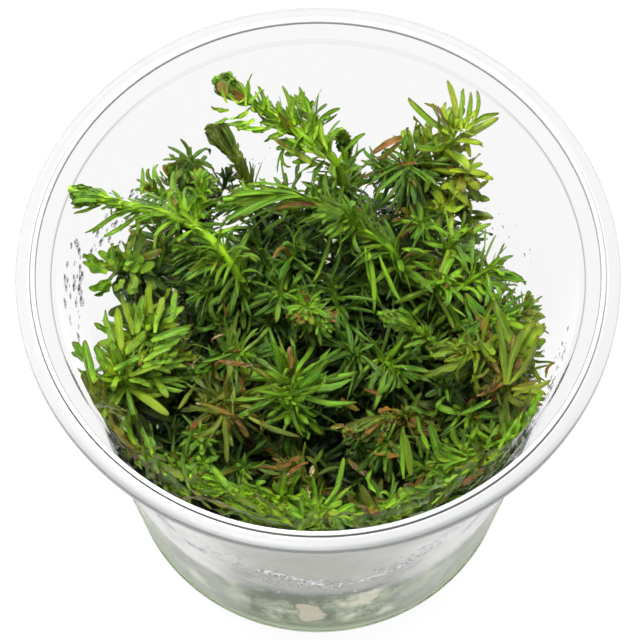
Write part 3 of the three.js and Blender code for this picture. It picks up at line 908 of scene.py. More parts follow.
shoots = [
    # the bright shoot that lies out to the left rim, ending in a bud
    bud("bright", 8, (-11, -3), (-12, 0, 60), (-15, 4, 80), (-22, 9, 84.5), (-32.5, 11.2, 86.8),
        (-42, 13.6, 88.2), budDark=0.5, wither=0.02, stem=1.6, sweep=(-0.1, -0.35, -0.25)),
    # the bright shoot that lies out to the back left, ending in a bud
    bud("bright", 8, (4, 17), (5, 19, 60), (3, 22.5, 81), (-6, 27.5, 86), (-18, 35, 88),
        budDark=0.75, wither=0.03, stem=1.6, sweep=(0, 0.1, 0)),
    # the dark bud between them and the two dark rosettes beside it
    bud("dusk", 8, (-9, 14), (-10, 17, 62), (-13, 21.5, 80), (-19, 27, 86), budDark=0.3, wither=0.08),
    star("deep", 5, (-17, 18), (-20, 20, 62), (-22, 21, 82),
        lean=(0, -4), dark=0.4, wither=0.08, curled=0.5),
    star("green", 6, (-22, 13), (-27, 17, 65), (-29, 18, 80),
        lean=(-5, 0), dark=0.12, wither=0.2, curled=0.4),
    # the long lying brush over the middle of the back
    sheaf("green", 9, (14, 4), (14, 5, 62), (12.5, 6, 80), (4.5, 9.5, 84.5), (-3, 13, 86.5), (-16, 12, 87),
        wither=0.02, sweep=(0, -0.2, -0.35)),
    # the narrow shoot at the back
    bud("green", 5, (8, 25), (6, 27, 62), (4, 28, 83), lean=(-1, 1), wither=0.02),
    # the open rosette at the back right, with a smaller one under it
    star("gold", 8.5, (18, 17), (19.5, 20, 68), (20.5, 22, 79), (23, 26, 88),
        wither=0.15, wide=1.6, fuller=0.6, sprigs=1),
    star("gold", 5.5, (23, 15), (26, 18, 62), (25.5, 20, 83),
        lean=(1, -1), wither=0.1, wide=1.5, fuller=0.7, sprigs=1),
    # the big dark-green rosette in front of it and the curled bud beside its foot
    star("deep", 8, (13, 13), (14.5, 16, 62), (15.5, 17.5, 86),
        lean=(0, -5), dark=0.12, wither=0.06, fuller=1.3, wide=0.85, sweep=(0, -0.4, -0.25)),
    star("green", 4.5, (17, 9), (18, 10, 62), (18, 10, 81), lean=(1, -4), dark=0.15, wither=0.1),
    # the bunch along the right side
    star("green", 7, (22, 8), (24, 9, 62), (25, 9.5, 80), lean=(3, 1), wither=0.08, sweep=(0.2, 0.3, 0)),
    star("green", 8, (27, 3), (29.5, 3.5, 62), (30, 3.5, 79),
        lean=(5, 1), wither=0.05, sweep=(0.35, 0.25, 0)),
    star("green", 7, (20, 1), (22, 1.5, 62), (22, 1.5, 78),
        lean=(2, -1), wither=0.04, sweep=(0.1, -0.4, -0.1)),
    star("green", 7, (28, -4), (31.5, -5, 62), (32, -5.5, 77),
        lean=(4, -2), wither=0.06, sweep=(0.4, 0.1, 0)),
    star("olive", 6.5, (30, -11), (34, -12, 62), (35, -12, 75), lean=(3, -4), wither=0.15),
    star("olive", 7, (21, -11), (23, -13, 62), (24, -13, 80),
        lean=(-5, -3), wither=0.15, sweep=(-0.4, -0.3, 0)),
    star("brown", 6, (26, -15), (29, -18, 62), (29.5, -18, 77), lean=(-4, -1), dark=0.15, wither=0.4),
    # the curled bud in the middle and the lying shoot to its right
    star("green", 4.2, (-1, -4), (-1.5, -6, 62), (-2, -6.5, 83), lean=(0, -3), dark=0.1, wither=0.15),
    bud("green", 6, (17, -6), (18, -7, 60), (17.5, -7.5, 76), (10, -5.5, 79.5), dark=0.15, wither=0.05),
    # the big bright star in the middle front, the dark star behind it and the brownish one beside it
    star("green", 10, (-4, -17), (-4.5, -20, 62), (-4.5, -21, 78),
        lean=(0, -7), dark=0.12, wither=0.02, wide=1.15, fuller=1.2, sweep=(0, 0.55, 0.1)),
    star("deep", 7.5, (6, -8), (6.5, -10, 60), (6.5, -10.5, 74), lean=(1, -3), dark=0.2, wither=0.01),
    star("brown", 8.5, (-13, -18), (-15, -21, 60), (-15, -22, 74),
        lean=(1, -6), dark=0.15, wither=0.15, sweep=(0.1, 0.4, 0)),
    star("green", 4.5, (-17, -23), (-19, -25, 60), (-19.5, -25.5, 72), lean=(0, -3), dark=0.15, wither=0.06),
    # the bright broad-leaved bunch at the left and the yellowish rosette behind it
    star("grass", 9, (-27, -13), (-32, -16, 62), (-33, -16, 80),
        lean=(-1, 1), fuller=1.3, wither=0.01, wide=1.35, sweep=(0, 0.3, 0.1)),
    star("grass", 8, (-24, -5), (-27, -6, 62), (-28, -6, 79),
        lean=(2, 4), fuller=1.3, wither=0.02, wide=1.4, sweep=(0.3, 0.2, 0)),
    star("green", 5.5, (-28, 4), (-32.5, 4.5, 62), (-34, 4.5, 80),
        lean=(-5, -1), dark=0.25, wide=1.7, wither=0.06),
    # the bright shoot that lies along the near wall and the rosette at its foot
    bud("bright", 7, (-6, -31), (-6, -33.5, 60), (-5, -36, 72), (-9, -38, 77.5), (-15, -37, 79),
        (-21, -35, 79.5), wither=0.08, sweep=(0, -0.35, 0.35)),
    star("bright", 7.5, (2, -33), (1.5, -37, 60), (1, -39, 75.5),
        lean=(2, 0), wither=0.02, sweep=(0.1, -0.3, 0.5)),
    star("brown", 7, (-5, -25), (-5, -29, 60), (-5, -30.5, 72),
        lean=(-5, 2), dark=0.25, wither=0.3, sweep=(-0.3, 0, 0)),
    # the lower right front
    brush("grass", 6, (25.5, -24), (29.5, -27.5, 74), (26, -30, 75.5), (20.6, -31.5, 75.5),
        dark=0.12, wither=0.05),
    star("green", 7, (17, -28), (19, -31, 60), (19.5, -31.5, 71),
        lean=(2, -4), dark=0.25, wither=0.04, sweep=(0.1, -0.5, -0.1)),
    star("green", 7, (9, -24), (11, -27.5, 60), (11, -28, 75),
        lean=(-1, -4), dark=0.4, wither=0.15, sweep=(0, -0.3, -0.2)),
    star("green", 8, (11, -32), (13, -35, 60), (13, -36, 70),
        lean=(3, 2), dark=0.3, wither=0.05, sweep=(0.2, -0.3, 0.5)),
    bud("brown", 6, (15, -20), (15.5, -21, 60), (14, -22.5, 75), (4, -27, 79), dark=0.1, wither=0.35),
    star("green", 5.5, (28, -22), (32, -23, 62), (33, -23, 73),
        lean=(1, -2), dark=0.3, wither=0.05, sweep=(0.3, -0.1, 0)),
    star("green", 7, (23, -20), (26, -22, 60), (26.5, -22.5, 72),
        lean=(2, -5), dark=0.4, wither=0.08, sweep=(0, -0.55, -0.2)),
    star("green", 7, (13, -13), (14, -14, 60), (14, -14, 74),
        lean=(4, -5), dark=0.3, wither=0.05, sweep=(0.2, -0.4, -0.1)),
    # the lower left front
    star("brown", 2.5, (-31, -16), (-35, -19, 62), (-36, -19.5, 76), lean=(-1, 0), dark=0.75, wither=0.3),
    star("green", 7, (-23, -27), (-25, -28.5, 60), (-26, -29, 70), lean=(-4, -1), dark=0.25, wither=0.04),
    brush("brown", 4, (-28, -21), (-31, -25, 60), (-31.5, -26, 71), lean=(-1, -1), dark=0.35, wither=0.3),
    star("deep", 7, (-11, -26), (-12, -28.5, 55), (-12.5, -29, 66), lean=(3, -5), wither=0.05),
    # the dark middle left
    star("green", 7, (-20, 6), (-23, 6, 62), (-24, 6, 76), lean=(-4, -1), wither=0.04),
    star("deep", 7, (-17, 0), (-19, 0, 62), (-20, 0, 76), lean=(-4, -3), wither=0.04),
    star("deep", 7, (-10, -10), (-11, -11, 60), (-11, -11.5, 75), lean=(5, -3), wither=0.06),
    star("deep", 7, (-19, -9), (-20, -10, 50), (-21, -10, 62), lean=(0, -5), wither=0.04),
    star("deep", 7, (-6, 0), (-6.5, -0.5, 60), (-7, -1, 77),
        lean=(-3, -3), wither=0.02, sweep=(0.1, -0.3, 0)),
    # the dark middle
    star("deep", 7, (-9, 7), (-10, 9, 62), (-11, 9.5, 78), lean=(-3, 5), wither=0.03, sweep=(-0.3, 0.1, 0)),
    star("deep", 8, (2, 0), (2.5, 1, 60), (2.5, 1, 78), lean=(-1, 3), wither=0.02, sweep=(0.2, -0.3, -0.1)),
    star("deep", 7, (8, 1), (8.5, 1.5, 60), (8.5, 1.5, 75), lean=(3, -4), wither=0.02, sweep=(0.3, -0.2, 0)),
    star("green", 7, (-3, 13), (-4, 16, 62), (-6, 18.5, 79), lean=(-2, 4), wither=0.04),
    star("deep", 7, (9, 9), (9.5, 11, 62), (9.5, 11.5, 77), lean=(5, 3), wither=0.03),
    star("deep", 7, (-3, 6), (-3, 7.5, 62), (-3, 8, 79), lean=(2, 2), wither=0.02),
]

# parts of the photograph that leaves were read off: corner in pixels, and how far each was enlarged
crops = dict(
    backLeft=dict(corner=(60, 60), enlarged=3.704),
    backRight=dict(corner=(370, 70), enlarged=5.556),
    right=dict(corner=(330, 320), enlarged=4.348),
    left=dict(corner=(60, 290), enlarged=3.704),
    middle=dict(corner=(200, 180), enlarged=3.57),
    centre=dict(corner=(300, 220), enlarged=1),
    leftBunch=dict(corner=(60, 200), enlarged=5.263),
    leftWall=dict(corner=(60, 360), enlarged=3.704),
    nearWall=dict(corner=(230, 495), enlarged=8),
    frontRight=dict(corner=(380, 300), enlarged=4.167),
)

# leaves laid one by one: each leaf's foot and tip in the enlarged part, each with its height in mm, then
# its width in mm, how withered it is, and how far it curls in radians
laidLeaves = [
    # the ragged leaves under and beside the bright shoot at the left
    dict(shoot=1, crop="backLeft", leaves=[
        ((245, 530, 86), (90, 640, 84), 1.1, 0, 0.3), ((285, 550, 86), (120, 645, 83), 1.1, 0, -0.4),
        ((175, 515, 86), (50, 570, 85), 0.9, 0.1, 0.5), ((300, 620, 85), (245, 695, 80), 1.6, 0.35, 0.3),
        ((385, 640, 84), (360, 775, 76), 1, 0, 0.3), ((300, 500, 86), (305, 398, 88), 0.9, 0.2, -0.3),
        ((420, 560, 86), (405, 480, 89), 0.9, 0, 0.5), ((450, 570, 86), (430, 465, 89), 0.8, 0, -0.4),
        ((470, 560, 86), (525, 488, 89), 0.9, 0, 0.4), ((490, 600, 85), (625, 605, 85), 1.2, 0, -0.5),
        ((470, 620, 85), (590, 645, 83), 1, 0.1, 0.6), ((300, 560, 85), (160, 655, 82), 1, 0, 0.4),
        ((560, 650, 83), (705, 620, 82), 1.2, 0, 0.4), ((520, 700, 82), (480, 790, 76), 0.9, 0.2, 0.5),
    ]),
    # the curled leaf ends along the bright shoot at the back left, and the brown bundle under it
    dict(shoot=2, crop="backLeft", leaves=[
        ((640, 150, 88), (655, 60, 91), 0.8, 0, 2.2), ((662, 160, 88), (690, 75, 91), 0.7, 0, -1.8),
        ((690, 175, 88), (712, 48, 92), 0.8, 0.1, 0.8), ((720, 190, 88), (758, 112, 91), 0.9, 0, 1.6),
        ((745, 200, 88), (732, 95, 91), 0.9, 0.2, -1.2), ((850, 215, 87), (822, 95, 90), 0.9, 0.3, -0.8),
        ((890, 240, 86), (873, 180, 89), 1.2, 0, 0.5), ((620, 160, 88), (602, 85, 90), 0.8, 0.2, 0.9),
        ((625, 185, 87), (560, 170, 88), 1, 0.35, 0.9), ((650, 215, 87), (570, 238, 87), 0.9, 0.1, -0.7),
        ((700, 228, 86), (600, 238, 85), 1.1, 0, 0.4), ((760, 250, 86), (650, 248, 85), 1, 0, 0.5),
        ((955, 270, 86), (918, 195, 89), 1, 0.1, -0.6), ((975, 395, 84), (785, 285, 86), 1.5, 0.4, 0.2),
        ((935, 385, 84), (800, 300, 86), 1.2, 0.55, -0.3), ((985, 365, 85), (830, 282, 87), 1.3, 0.3, 0.3),
        ((990, 330, 86), (965, 230, 88), 1, 0, 0.5), ((700, 190, 87), (640, 215, 87), 1.1, 0, 0.5),
        ((720, 220, 86), (655, 260, 85), 1.2, 0.1, 0.4), ((790, 200, 88), (770, 130, 90), 1.1, 0, 0.5),
        ((810, 230, 88), (800, 160, 90), 1.2, 0.2, -0.5), ((840, 260, 86), (770, 290, 84), 1.3, 0, 0.3),
        ((870, 300, 86), (800, 330, 84), 1.4, 0.1, 0.3), ((870, 240, 87), (860, 160, 90), 1.2, 0, 0.4),
        ((910, 270, 86), (935, 190, 89), 1.3, 0.1, -0.3), ((900, 330, 85), (830, 350, 83), 1.4, 0, 0.4),
        ((940, 300, 86), (960, 240, 88), 1.2, 0, 0.4), ((940, 370, 84), (860, 380, 83), 1.4, 0.1, -0.3),
        ((660, 160, 88), (620, 120, 89), 1, 0.2, 0.8), ((750, 210, 87), (720, 140, 89), 1, 0, 0.7),
        ((780, 250, 86), (710, 262, 85), 1, 0.2, 0.9),
    ]),
    # the open rosette at the back right
    dict(shoot=8, crop="backRight", leaves=[
        ((478, 365, 87), (212, 150, 90), 1.5, 0.2, 0.45), ((482, 260, 89), (430, 55, 91), 1.35, 0.15, -0.3),
        ((508, 330, 88), (522, 100, 91), 1.2, 0, 0.2), ((530, 330, 88), (560, 120, 91), 1.1, 0.1, -0.3),
        ((565, 295, 89), (592, 112, 91), 0.9, 0.1, -1), ((535, 335, 88), (720, 240, 90), 1.2, 0.2, 0.9),
        ((465, 310, 88), (395, 205, 90), 0.9, 0.1, 0.4), ((440, 300, 88), (300, 182, 89), 0.9, 0.4, -0.9),
        ((555, 350, 86), (562, 485, 83), 1.1, 0.1, -0.9), ((500, 400, 85), (634, 430, 86), 0.8, 0.2, 0.7),
        ((400, 380, 85), (340, 440, 83), 1, 0.1, 0.5), ((440, 560, 83), (662, 582, 84), 1.3, 0.15, 0.25),
        ((430, 640, 81), (550, 752, 79), 1.6, 0.3, 0.3), ((390, 490, 82), (400, 395, 84), 1, 0.1, 0.6),
    ]),
    # the rusty bract and the broad leaf behind the dark rosette
    dict(shoot=10, crop="backRight", leaves=[
        ((20, 462, 86), (182, 370, 89), 1.5, 0.75, 0.3), ((40, 500, 85), (170, 395, 88), 1.1, 0.55, -0.3),
        ((280, 440, 84), (275, 300, 88), 2, 0.25, 0.4), ((150, 530, 85), (262, 520, 85), 0.8, 0.6, 0.4),
        ((60, 545, 84), (0, 420, 85), 1, 0.1, 0.4), ((190, 440, 85), (205, 360, 87), 1.4, 0, 0.4),
    ]),
    # the broad yellowish leaf and its curls
    dict(shoot=17, crop="right", leaves=[
        ((620, 150, 81), (395, 240, 78), 1.8, 0.12, 0.4), ((640, 130, 82), (600, 60, 85), 1.3, 0.1, 0.9),
        ((590, 190, 81), (560, 260, 77), 0.9, 0.1, -1.2), ((620, 240, 80), (640, 330, 76), 1.2, 0.05, 0.3),
        ((560, 120, 80), (420, 130, 79), 0.9, 0.3, -0.6), ((600, 150, 82), (640, 95, 83), 1, 0.25, 1.6),
    ]),
    # the olive leaves that stand and curl along the right wall
    dict(shoot=16, crop="right", leaves=[
        ((800, 330, 79), (945, 330, 82), 1.4, 0.25, 1.2), ((790, 300, 80), (960, 260, 83), 1.3, 0.2, -0.8),
        ((780, 280, 80), (905, 60, 85), 1.2, 0.3, -0.7), ((770, 280, 80), (850, 30, 85), 1.3, 0.25, 0.5),
        ((760, 280, 80), (730, 0, 86), 1.6, 0.05, -0.3), ((720, 180, 80), (650, 90, 83), 1.2, 0.15, 0.6),
        ((940, 250, 82), (980, 182, 84), 0.7, 0.7, 1.4), ((790, 140, 82), (800, 60, 84), 0.8, 0.8, 0.5),
        ((750, 250, 79), (790, 160, 82), 0.9, 0.5, 0.6), ((830, 340, 79), (960, 350, 81), 1.2, 0.2, 0.6),
    ]),
    # the rusty bundle under them
    dict(shoot=18, crop="right", leaves=[
        ((760, 270, 79), (640, 330, 77), 1, 0.65, 0.4), ((755, 280, 79), (680, 340, 76), 0.9, 0.85, -0.5),
        ((740, 240, 80), (640, 300, 78), 1, 0.6, 0.8), ((720, 240, 81), (660, 320, 78), 0.8, 0.95, 0.6),
        ((690, 210, 80), (620, 250, 79), 0.8, 0.4, 1.2),
    ]),
    # loose, rusty and blunt leaves over the lower right
    dict(shoot=33, crop="right", leaves=[
        ((150, 300, 78), (215, 330, 76), 0.8, 0.75, 0.5), ((210, 400, 77), (290, 400, 76), 1.4, 0.62, 0.6),
        ((50, 340, 77), (130, 390, 74), 1.2, 0.6, -0.4), ((60, 510, 76), (130, 440, 77), 1.3, 0.7, 0.5),
        ((0, 470, 76), (60, 460, 76), 1, 0.5, 0.3), ((220, 540, 75), (230, 480, 77), 1.3, 0.62, 0.8),
        ((300, 590, 75), (160, 570, 76), 1.3, 0.66, 0.3), ((330, 430, 76), (368, 528, 73), 0.7, 0.62, 0.4),
        ((290, 290, 77), (340, 310, 75), 0.9, 0.1, 1.4), ((430, 450, 77), (500, 630, 71), 1.2, 0, 0.2),
        ((490, 520, 75), (560, 550, 73), 1, 0.2, -0.6), ((600, 600, 73), (640, 470, 77), 1.1, 0, 0.3),
        ((320, 690, 73), (320, 460, 78), 1.1, 0.05, 0.2), ((400, 600, 72), (390, 510, 75), 0.9, 0, 0.2),
        ((200, 750, 75), (180, 650, 74), 1, 0, 1.6), ((265, 860, 74), (300, 700, 76), 1.4, 0.1, 0.5),
        ((320, 720, 73), (375, 718, 74), 0.8, 0.9, 0.8), ((60, 600, 75), (20, 760, 72), 1.2, 0.05, 0.2),
        ((700, 620, 75), (560, 620, 76), 0.9, 0, 0.6), ((700, 350, 77), (560, 410, 75), 1, 0.05, 0.2),
        ((320, 120, 78), (420, 90, 78), 1, 0.05, 0.5),
    ]),
    # pale slivers and dry leaves over the lower left
    dict(shoot=23, crop="left", leaves=[
        ((715, 275, 76), (585, 258, 77), 1.1, 0.85, 0.3), ((890, 130, 80), (880, 80, 81), 1.4, 0.8, 0.6),
        ((560, 190, 72), (610, 165, 73), 0.6, 1, 0.8), ((450, 190, 72), (480, 180, 72), 0.7, 1, 0.5),
        ((495, 270, 71), (525, 245, 72), 0.7, 1, 1.2), ((480, 300, 70), (500, 280, 71), 0.8, 0.95, 1),
        ((745, 520, 76), (750, 470, 77), 0.7, 0.7, 0.1), ((930, 690, 75), (940, 650, 76), 1, 0.9, 0.3),
        ((905, 790, 74), (910, 730, 76), 1.8, 0.97, 0.3), ((890, 615, 76), (800, 650, 75), 1.4, 0.75, 0.5),
        ((920, 640, 76), (840, 690, 75), 0.9, 0.6, -0.6), ((600, 770, 78), (510, 735, 79), 1.4, 0.72, 0.3),
        ((640, 800, 78), (540, 780, 79), 1.2, 0.6, 0.3), ((650, 470, 77), (500, 420, 76), 0.9, 0.62, -0.3),
        ((630, 470, 77), (520, 500, 76), 0.8, 0.55, 0.4), ((610, 470, 77), (620, 640, 73), 1.3, 0.3, 0.2),
        ((640, 460, 77), (640, 310, 79), 1.1, 0.2, 0.3), ((600, 470, 77), (490, 540, 76), 1.1, 0.25, 1.2),
        ((700, 470, 77), (890, 545, 75), 1.1, 0.15, -0.3), ((440, 440, 76), (505, 345, 78), 1.1, 0.1, -0.2),
    ]),
    # the hanging leaves of the long lying brush
    dict(shoot=6, crop="middle", leaves=[
        ((600, 250, 83), (620, 480, 77), 1.1, 0, 0.3), ((640, 270, 83), (720, 440, 78), 1, 0, -0.3),
        ((590, 240, 84), (650, 450, 77), 0.8, 0.05, -0.5), ((720, 245, 82), (810, 260, 82), 1, 0.1, 0.4),
        ((470, 170, 84), (400, 370, 77), 0.9, 0, 0.5), ((500, 185, 84), (450, 380, 78), 0.8, 0.05, 0.7),
    ]),
    # darker ones lower down, in the hollow between them
    dict(shoot=6, crop="centre", leaves=[
        ((26, 36, 70), (44, 22, 70), 1.3, 0, 0.3), ((28, 20, 68), (40, 36, 68), 1.3, 0, -0.3),
        ((22, 28, 66), (44, 28, 66), 1.4, 0.1, 0.2), ((34, 40, 66), (32, 14, 66), 1.4, 0, 0.2),
        ((24, 22, 64), (42, 34, 64), 1.4, 0, -0.2), ((30, 30, 64), (48, 18, 64), 1.4, 0, 0.2),
    ]),
    # the broad leaves of the bright bunch at the left wall
    dict(shoot=25, crop="leftBunch", leaves=[
        ((300, 800, 81), (240, 575, 84), 1.7, 0.1, 0.2), ((300, 700, 81), (180, 645, 84), 1.5, 0.1, 0.4),
        ((325, 790, 81), (300, 565, 84), 1.8, 0, 0.1), ((385, 710, 80), (350, 540, 83), 1.3, 0.05, -0.2),
        ((405, 700, 80), (445, 500, 83), 2.1, 0.25, 0.2), ((470, 650, 79), (465, 430, 83), 1.8, 0.15, 0.1),
        ((330, 810, 81), (450, 690, 83), 1.8, 0, -0.3), ((275, 900, 81), (430, 825, 83), 1.7, 0, -0.2),
        ((440, 850, 80), (590, 775, 81), 1.3, 0, 0.3), ((440, 860, 80), (585, 910, 79), 1.3, 0, 0.4),
        ((430, 880, 80), (600, 850, 79), 1.2, 0, 0.2), ((180, 960, 80), (130, 735, 83), 2, 0.1, 0.2),
        ((140, 860, 80), (65, 745, 83), 1.6, 0.15, -0.3), ((125, 850, 80), (60, 800, 82), 1.3, 0, -0.2),
        ((270, 890, 80), (190, 760, 83), 2, 0.1, 0.3), ((330, 930, 79), (410, 1000, 76), 1, 0.1, -0.2),
        ((360, 950, 79), (460, 960, 78), 1.3, 0, 0.3),
    ]),
    dict(shoot=26, crop="leftBunch", leaves=[
        ((500, 650, 80), (585, 465, 82), 1.7, 0.1, 0.2), ((560, 670, 79), (655, 560, 80), 1.5, 0.15, 0.3),
        ((480, 740, 80), (690, 675, 81), 1.7, 0, 0.3), ((500, 700, 80), (560, 520, 81), 1.5, 0, 0.4),
        ((470, 800, 79), (640, 720, 80), 1.4, 0, -0.3), ((600, 640, 79), (610, 470, 80), 1.4, 0.1, 0.2),
    ]),
    # the dark, ragged, broad leaves above them
    dict(shoot=27, crop="leftBunch", leaves=[
        ((240, 340, 81), (125, 280, 84), 2.2, 0.15, 0.5), ((250, 380, 81), (120, 330, 84), 2.4, 0.1, -0.4),
        ((260, 420, 80), (150, 460, 83), 2.2, 0.1, 0.6), ((270, 440, 80), (180, 500, 83), 1.8, 0.1, 0.3),
        ((300, 360, 81), (270, 245, 84), 2.2, 0.1, 0.4), ((340, 370, 81), (350, 250, 84), 2.4, 0.1, -0.4),
        ((380, 380, 80), (440, 290, 83), 2.4, 0.05, 0.5), ((330, 420, 80), (290, 480, 82), 1.8, 0.3, 0.5),
        ((390, 400, 80), (370, 500, 79), 2, 0.1, 0.3), ((420, 380, 80), (500, 330, 82), 2, 0.2, 0.3),
        ((280, 340, 82), (200, 270, 84), 1.6, 0.2, -0.5), ((350, 330, 82), (400, 160, 85), 1.6, 0.4, 0.4),
    ]),
    # the dark leaves that lie along the wall under them
    dict(shoot=39, crop="leftWall", leaves=[
        ((130, 150, 77), (80, 50, 80), 1.6, 0.2, 0.4), ((150, 190, 76), (100, 90, 79), 1.8, 0.15, -0.5),
        ((110, 180, 77), (150, 80, 79), 1.6, 0.25, 0.8), ((170, 210, 76), (120, 130, 79), 1.6, 0.1, 0.9),
        ((160, 130, 78), (190, 190, 75), 1.4, 0.2, 0.5), ((150, 200, 76), (230, 330, 72), 1.3, 0.3, 0.2),
        ((180, 190, 77), (270, 360, 72), 1.4, 0.55, -0.2), ((210, 180, 77), (280, 330, 73), 1.2, 0.2, 0.2),
        ((180, 160, 77), (250, 250, 74), 1.2, 0.1, 0.3), ((240, 200, 76), (300, 350, 72), 1, 0.2, -0.3),
        ((200, 240, 75), (290, 375, 72), 1.1, 0.6, 0.3), ((120, 100, 78), (90, 40, 80), 1.2, 0.1, 1.2),
        ((140, 130, 78), (170, 110, 79), 1, 0.1, -1.2), ((150, 160, 77), (190, 140, 78), 1, 0.2, 1.2),
        ((120, 130, 78), (85, 100, 79), 1, 0.1, 1.4), ((160, 190, 76), (200, 180, 77), 1, 0.1, -1.4),
        ((110, 90, 79), (140, 70, 80), 1, 0.2, 1),
    ]),
    # the leaves against the near wall, from the lying shoot on
    dict(shoot=28, crop="nearWall", leaves=[
        ((500, 262, 77), (195, 25, 82), 1.4, 0.05, -0.2), ((420, 252, 77), (130, 110, 80), 1.3, 0, 0.2),
        ((330, 240, 77), (-20, 130, 80), 1.2, 0, 0.1), ((300, 220, 78), (-10, 55, 81), 1.3, 0.1, 0.2),
        ((620, 268, 76), (350, 238, 78), 1.2, 0, 0.2), ((480, 240, 78), (260, 190, 79), 1.1, 0, -0.2),
        ((200, 180, 79), (-60, 150, 80), 1.2, 0, 0.2), ((100, 150, 80), (-130, 60, 82), 1.2, 0.05, -0.1),
        ((120, 190, 79), (-160, 110, 81), 1.1, 0, 0.2), ((560, 180, 79), (420, 90, 80), 1.2, 0, 0.3),
    ]),
    dict(shoot=29, crop="nearWall", leaves=[
        ((640, 200, 78), (462, 108, 81), 1.2, 0, 0.4), ((590, 215, 78), (572, 20, 83), 0.9, 0, 0.1),
        ((690, 190, 79), (682, -10, 83), 1.5, 0, 0.1), ((620, 262, 76), (792, 108, 81), 0.9, 0.1, 0.1),
        ((820, 190, 78), (1012, 70, 82), 1.4, 0, 0.5), ((780, 160, 79), (815, 95, 81), 0.9, 0.2, 0.4),
        ((800, 180, 78), (862, 285, 75), 1.4, 0, -0.2), ((850, 190, 78), (915, 275, 75), 1.2, 0, -0.3),
        ((900, 190, 78), (1010, 262, 75), 1.2, 0, -0.3), ((630, 280, 75), (820, 272, 76), 1.2, 0, -0.2),
        ((700, 240, 77), (760, 160, 79), 1.2, 0, 0.3), ((760, 270, 76), (700, 200, 78), 1.2, 0, 0.2),
        ((560, 270, 76), (640, 180, 79), 1.2, 0, 0.3), ((820, 260, 76), (880, 120, 79), 1.1, 0, 0.4),
    ]),
    dict(shoot=34, crop="nearWall", leaves=[
        ((1040, 225, 77), (1155, 85, 81), 2, 0, 0.6), ((1000, 240, 76), (1085, 140, 79), 1.4, 0, -0.3),
        ((1255, 218, 77), (1345, -20, 83), 1.4, 0.2, -0.3), ((1290, 150, 78), (1240, 85, 80), 1.4, 0, 0.5),
        ((1440, 135, 78), (1430, -10, 81), 1.5, 0, 0.2), ((1520, 115, 78), (1488, -10, 81), 1.3, 0, -0.2),
        ((1120, 230, 76), (1230, 180, 78), 1.2, 0, 0.3), ((1340, 180, 77), (1400, 80, 80), 1.2, 0, 0.3),
        ((1160, 225, 76), (1060, 190, 78), 1.2, 0, -0.3), ((1580, 90, 78), (1560, -30, 81), 1.3, 0, 0.2),
    ]),
    # the blunt dark leaves and the long olive ones at the lower right
    dict(shoot=37, crop="frontRight", leaves=[
        ((275, 700, 74), (205, 510, 79), 2, 0, 0.2), ((130, 730, 74), (95, 550, 78), 1.7, 0, -0.2),
        ((345, 620, 75), (295, 525, 78), 1.4, 0.15, 0.4), ((330, 640, 75), (415, 505, 79), 1.5, 0, -0.2),
        ((320, 190, 80), (420, 80, 84), 1.5, 0, 0.3), ((200, 620, 75), (150, 480, 78), 1.5, 0, 0.3),
        ((90, 780, 74), (25, 915, 71), 1.6, 0.2, 0.2), ((240, 470, 76), (120, 440, 78), 1.3, 0, 0.3),
    ]),
    dict(shoot=36, crop="frontRight", leaves=[
        ((600, 570, 77), (685, 450, 80), 2.4, 0, 0.2), ((560, 600, 76), (600, 455, 80), 2, 0, -0.2),
        ((500, 650, 75), (545, 480, 79), 1.6, 0.25, 0.2), ((470, 640, 75), (480, 500, 79), 1.4, 0.1, 0.3),
        ((520, 670, 74), (620, 560, 78), 1.8, 0, 0.3), ((430, 640, 75), (405, 560, 77), 1.3, 0, 2),
    ]),
    dict(shoot=16, crop="frontRight", leaves=[
        ((560, 200, 80), (475, 0, 86), 2, 0.05, 0.2), ((590, 220, 80), (690, 115, 84), 2.2, 0.1, 0.6),
        ((570, 200, 80), (690, 165, 84), 2.2, 0.1, -0.4), ((560, 230, 80), (640, 90, 84), 2, 0.2, 0.3),
        ((480, 220, 80), (410, 170, 82), 2, 0.15, 0.5), ((600, 300, 79), (640, 200, 83), 2, 0.2, 0.3),
    ]),
]

growth = dict(
    seed=41,
    leanRise=6,             # mm that a leaning tip rises while it goes sideways by its lean
    rootDepth=12 * mm,      # how far a shoot goes down into the jelly
    stemRadius=0.62 * mm,
    stemSides=8,
    stemTaper=(1.1, 0.45),
    stemUneven=(0.94, 1.08),
    stemStep=1.6 * mm,
    fewestSteps=6,
    stemPlace=(0.2, 0.4),   # a stem is coloured like a leaf at this place
    stemChance=(0.2, 0.8),
    stemAge=0.35,
    dryStem=0.3,
    sprigStem=0.6,
    leafRoot=0.5,           # share of the stem's radius where its leaves start
    whorlTurn=0.12,         # radians that a whorl is off the gaps of the last one
    leafTurn=dict(crown=0.10, low=0.22),
    sweep=(0.22, 0.3),      # a shoot's leaves lean to one side by so much, and a sprig's by more
    sweepAxes=(1, 1, 0.5),
    leafThickness=0.05 * mm,
    bareBelow=56 * mm,      # half of the leaves are gone under this height
    missing=dict(crown=0.10, low=0.5, high=0.14),
    budLength=7 * mm,       # a bud's closed leaves start within this of its tip
    darkLength=7.5 * mm,    # and its darker ones within this
    freshLength=6 * mm,
    ageing=30 * mm,         # distance below the tip over which leaves turn old and dark
    fineAbove=68 * mm,      # leaves that start under this height have fewer faces
    shaded=(3.5 * mm, 15 * mm),     # a leaf darkens between these depths under the leaves above it
    cell=1.5 * mm,          # of the grid that finds the leaves above
    wallGap=0.35 * mm,
    mouthRise=0.5 * mm,     # above the wall leaves may reach further out, by up to mouthReach
    mouthReach=3.0 * mm,
    bottomLimit=1 * mm,     # over the cup's floor
    topLimit=92.3 * mm,
    softenings=2,           # of the height of the leaves above
    shadePower=0.8,
    ageShare=0.7,
    dimmest=0.5,
    sharpFrom=48,           # degrees between faces that stay sharp
)

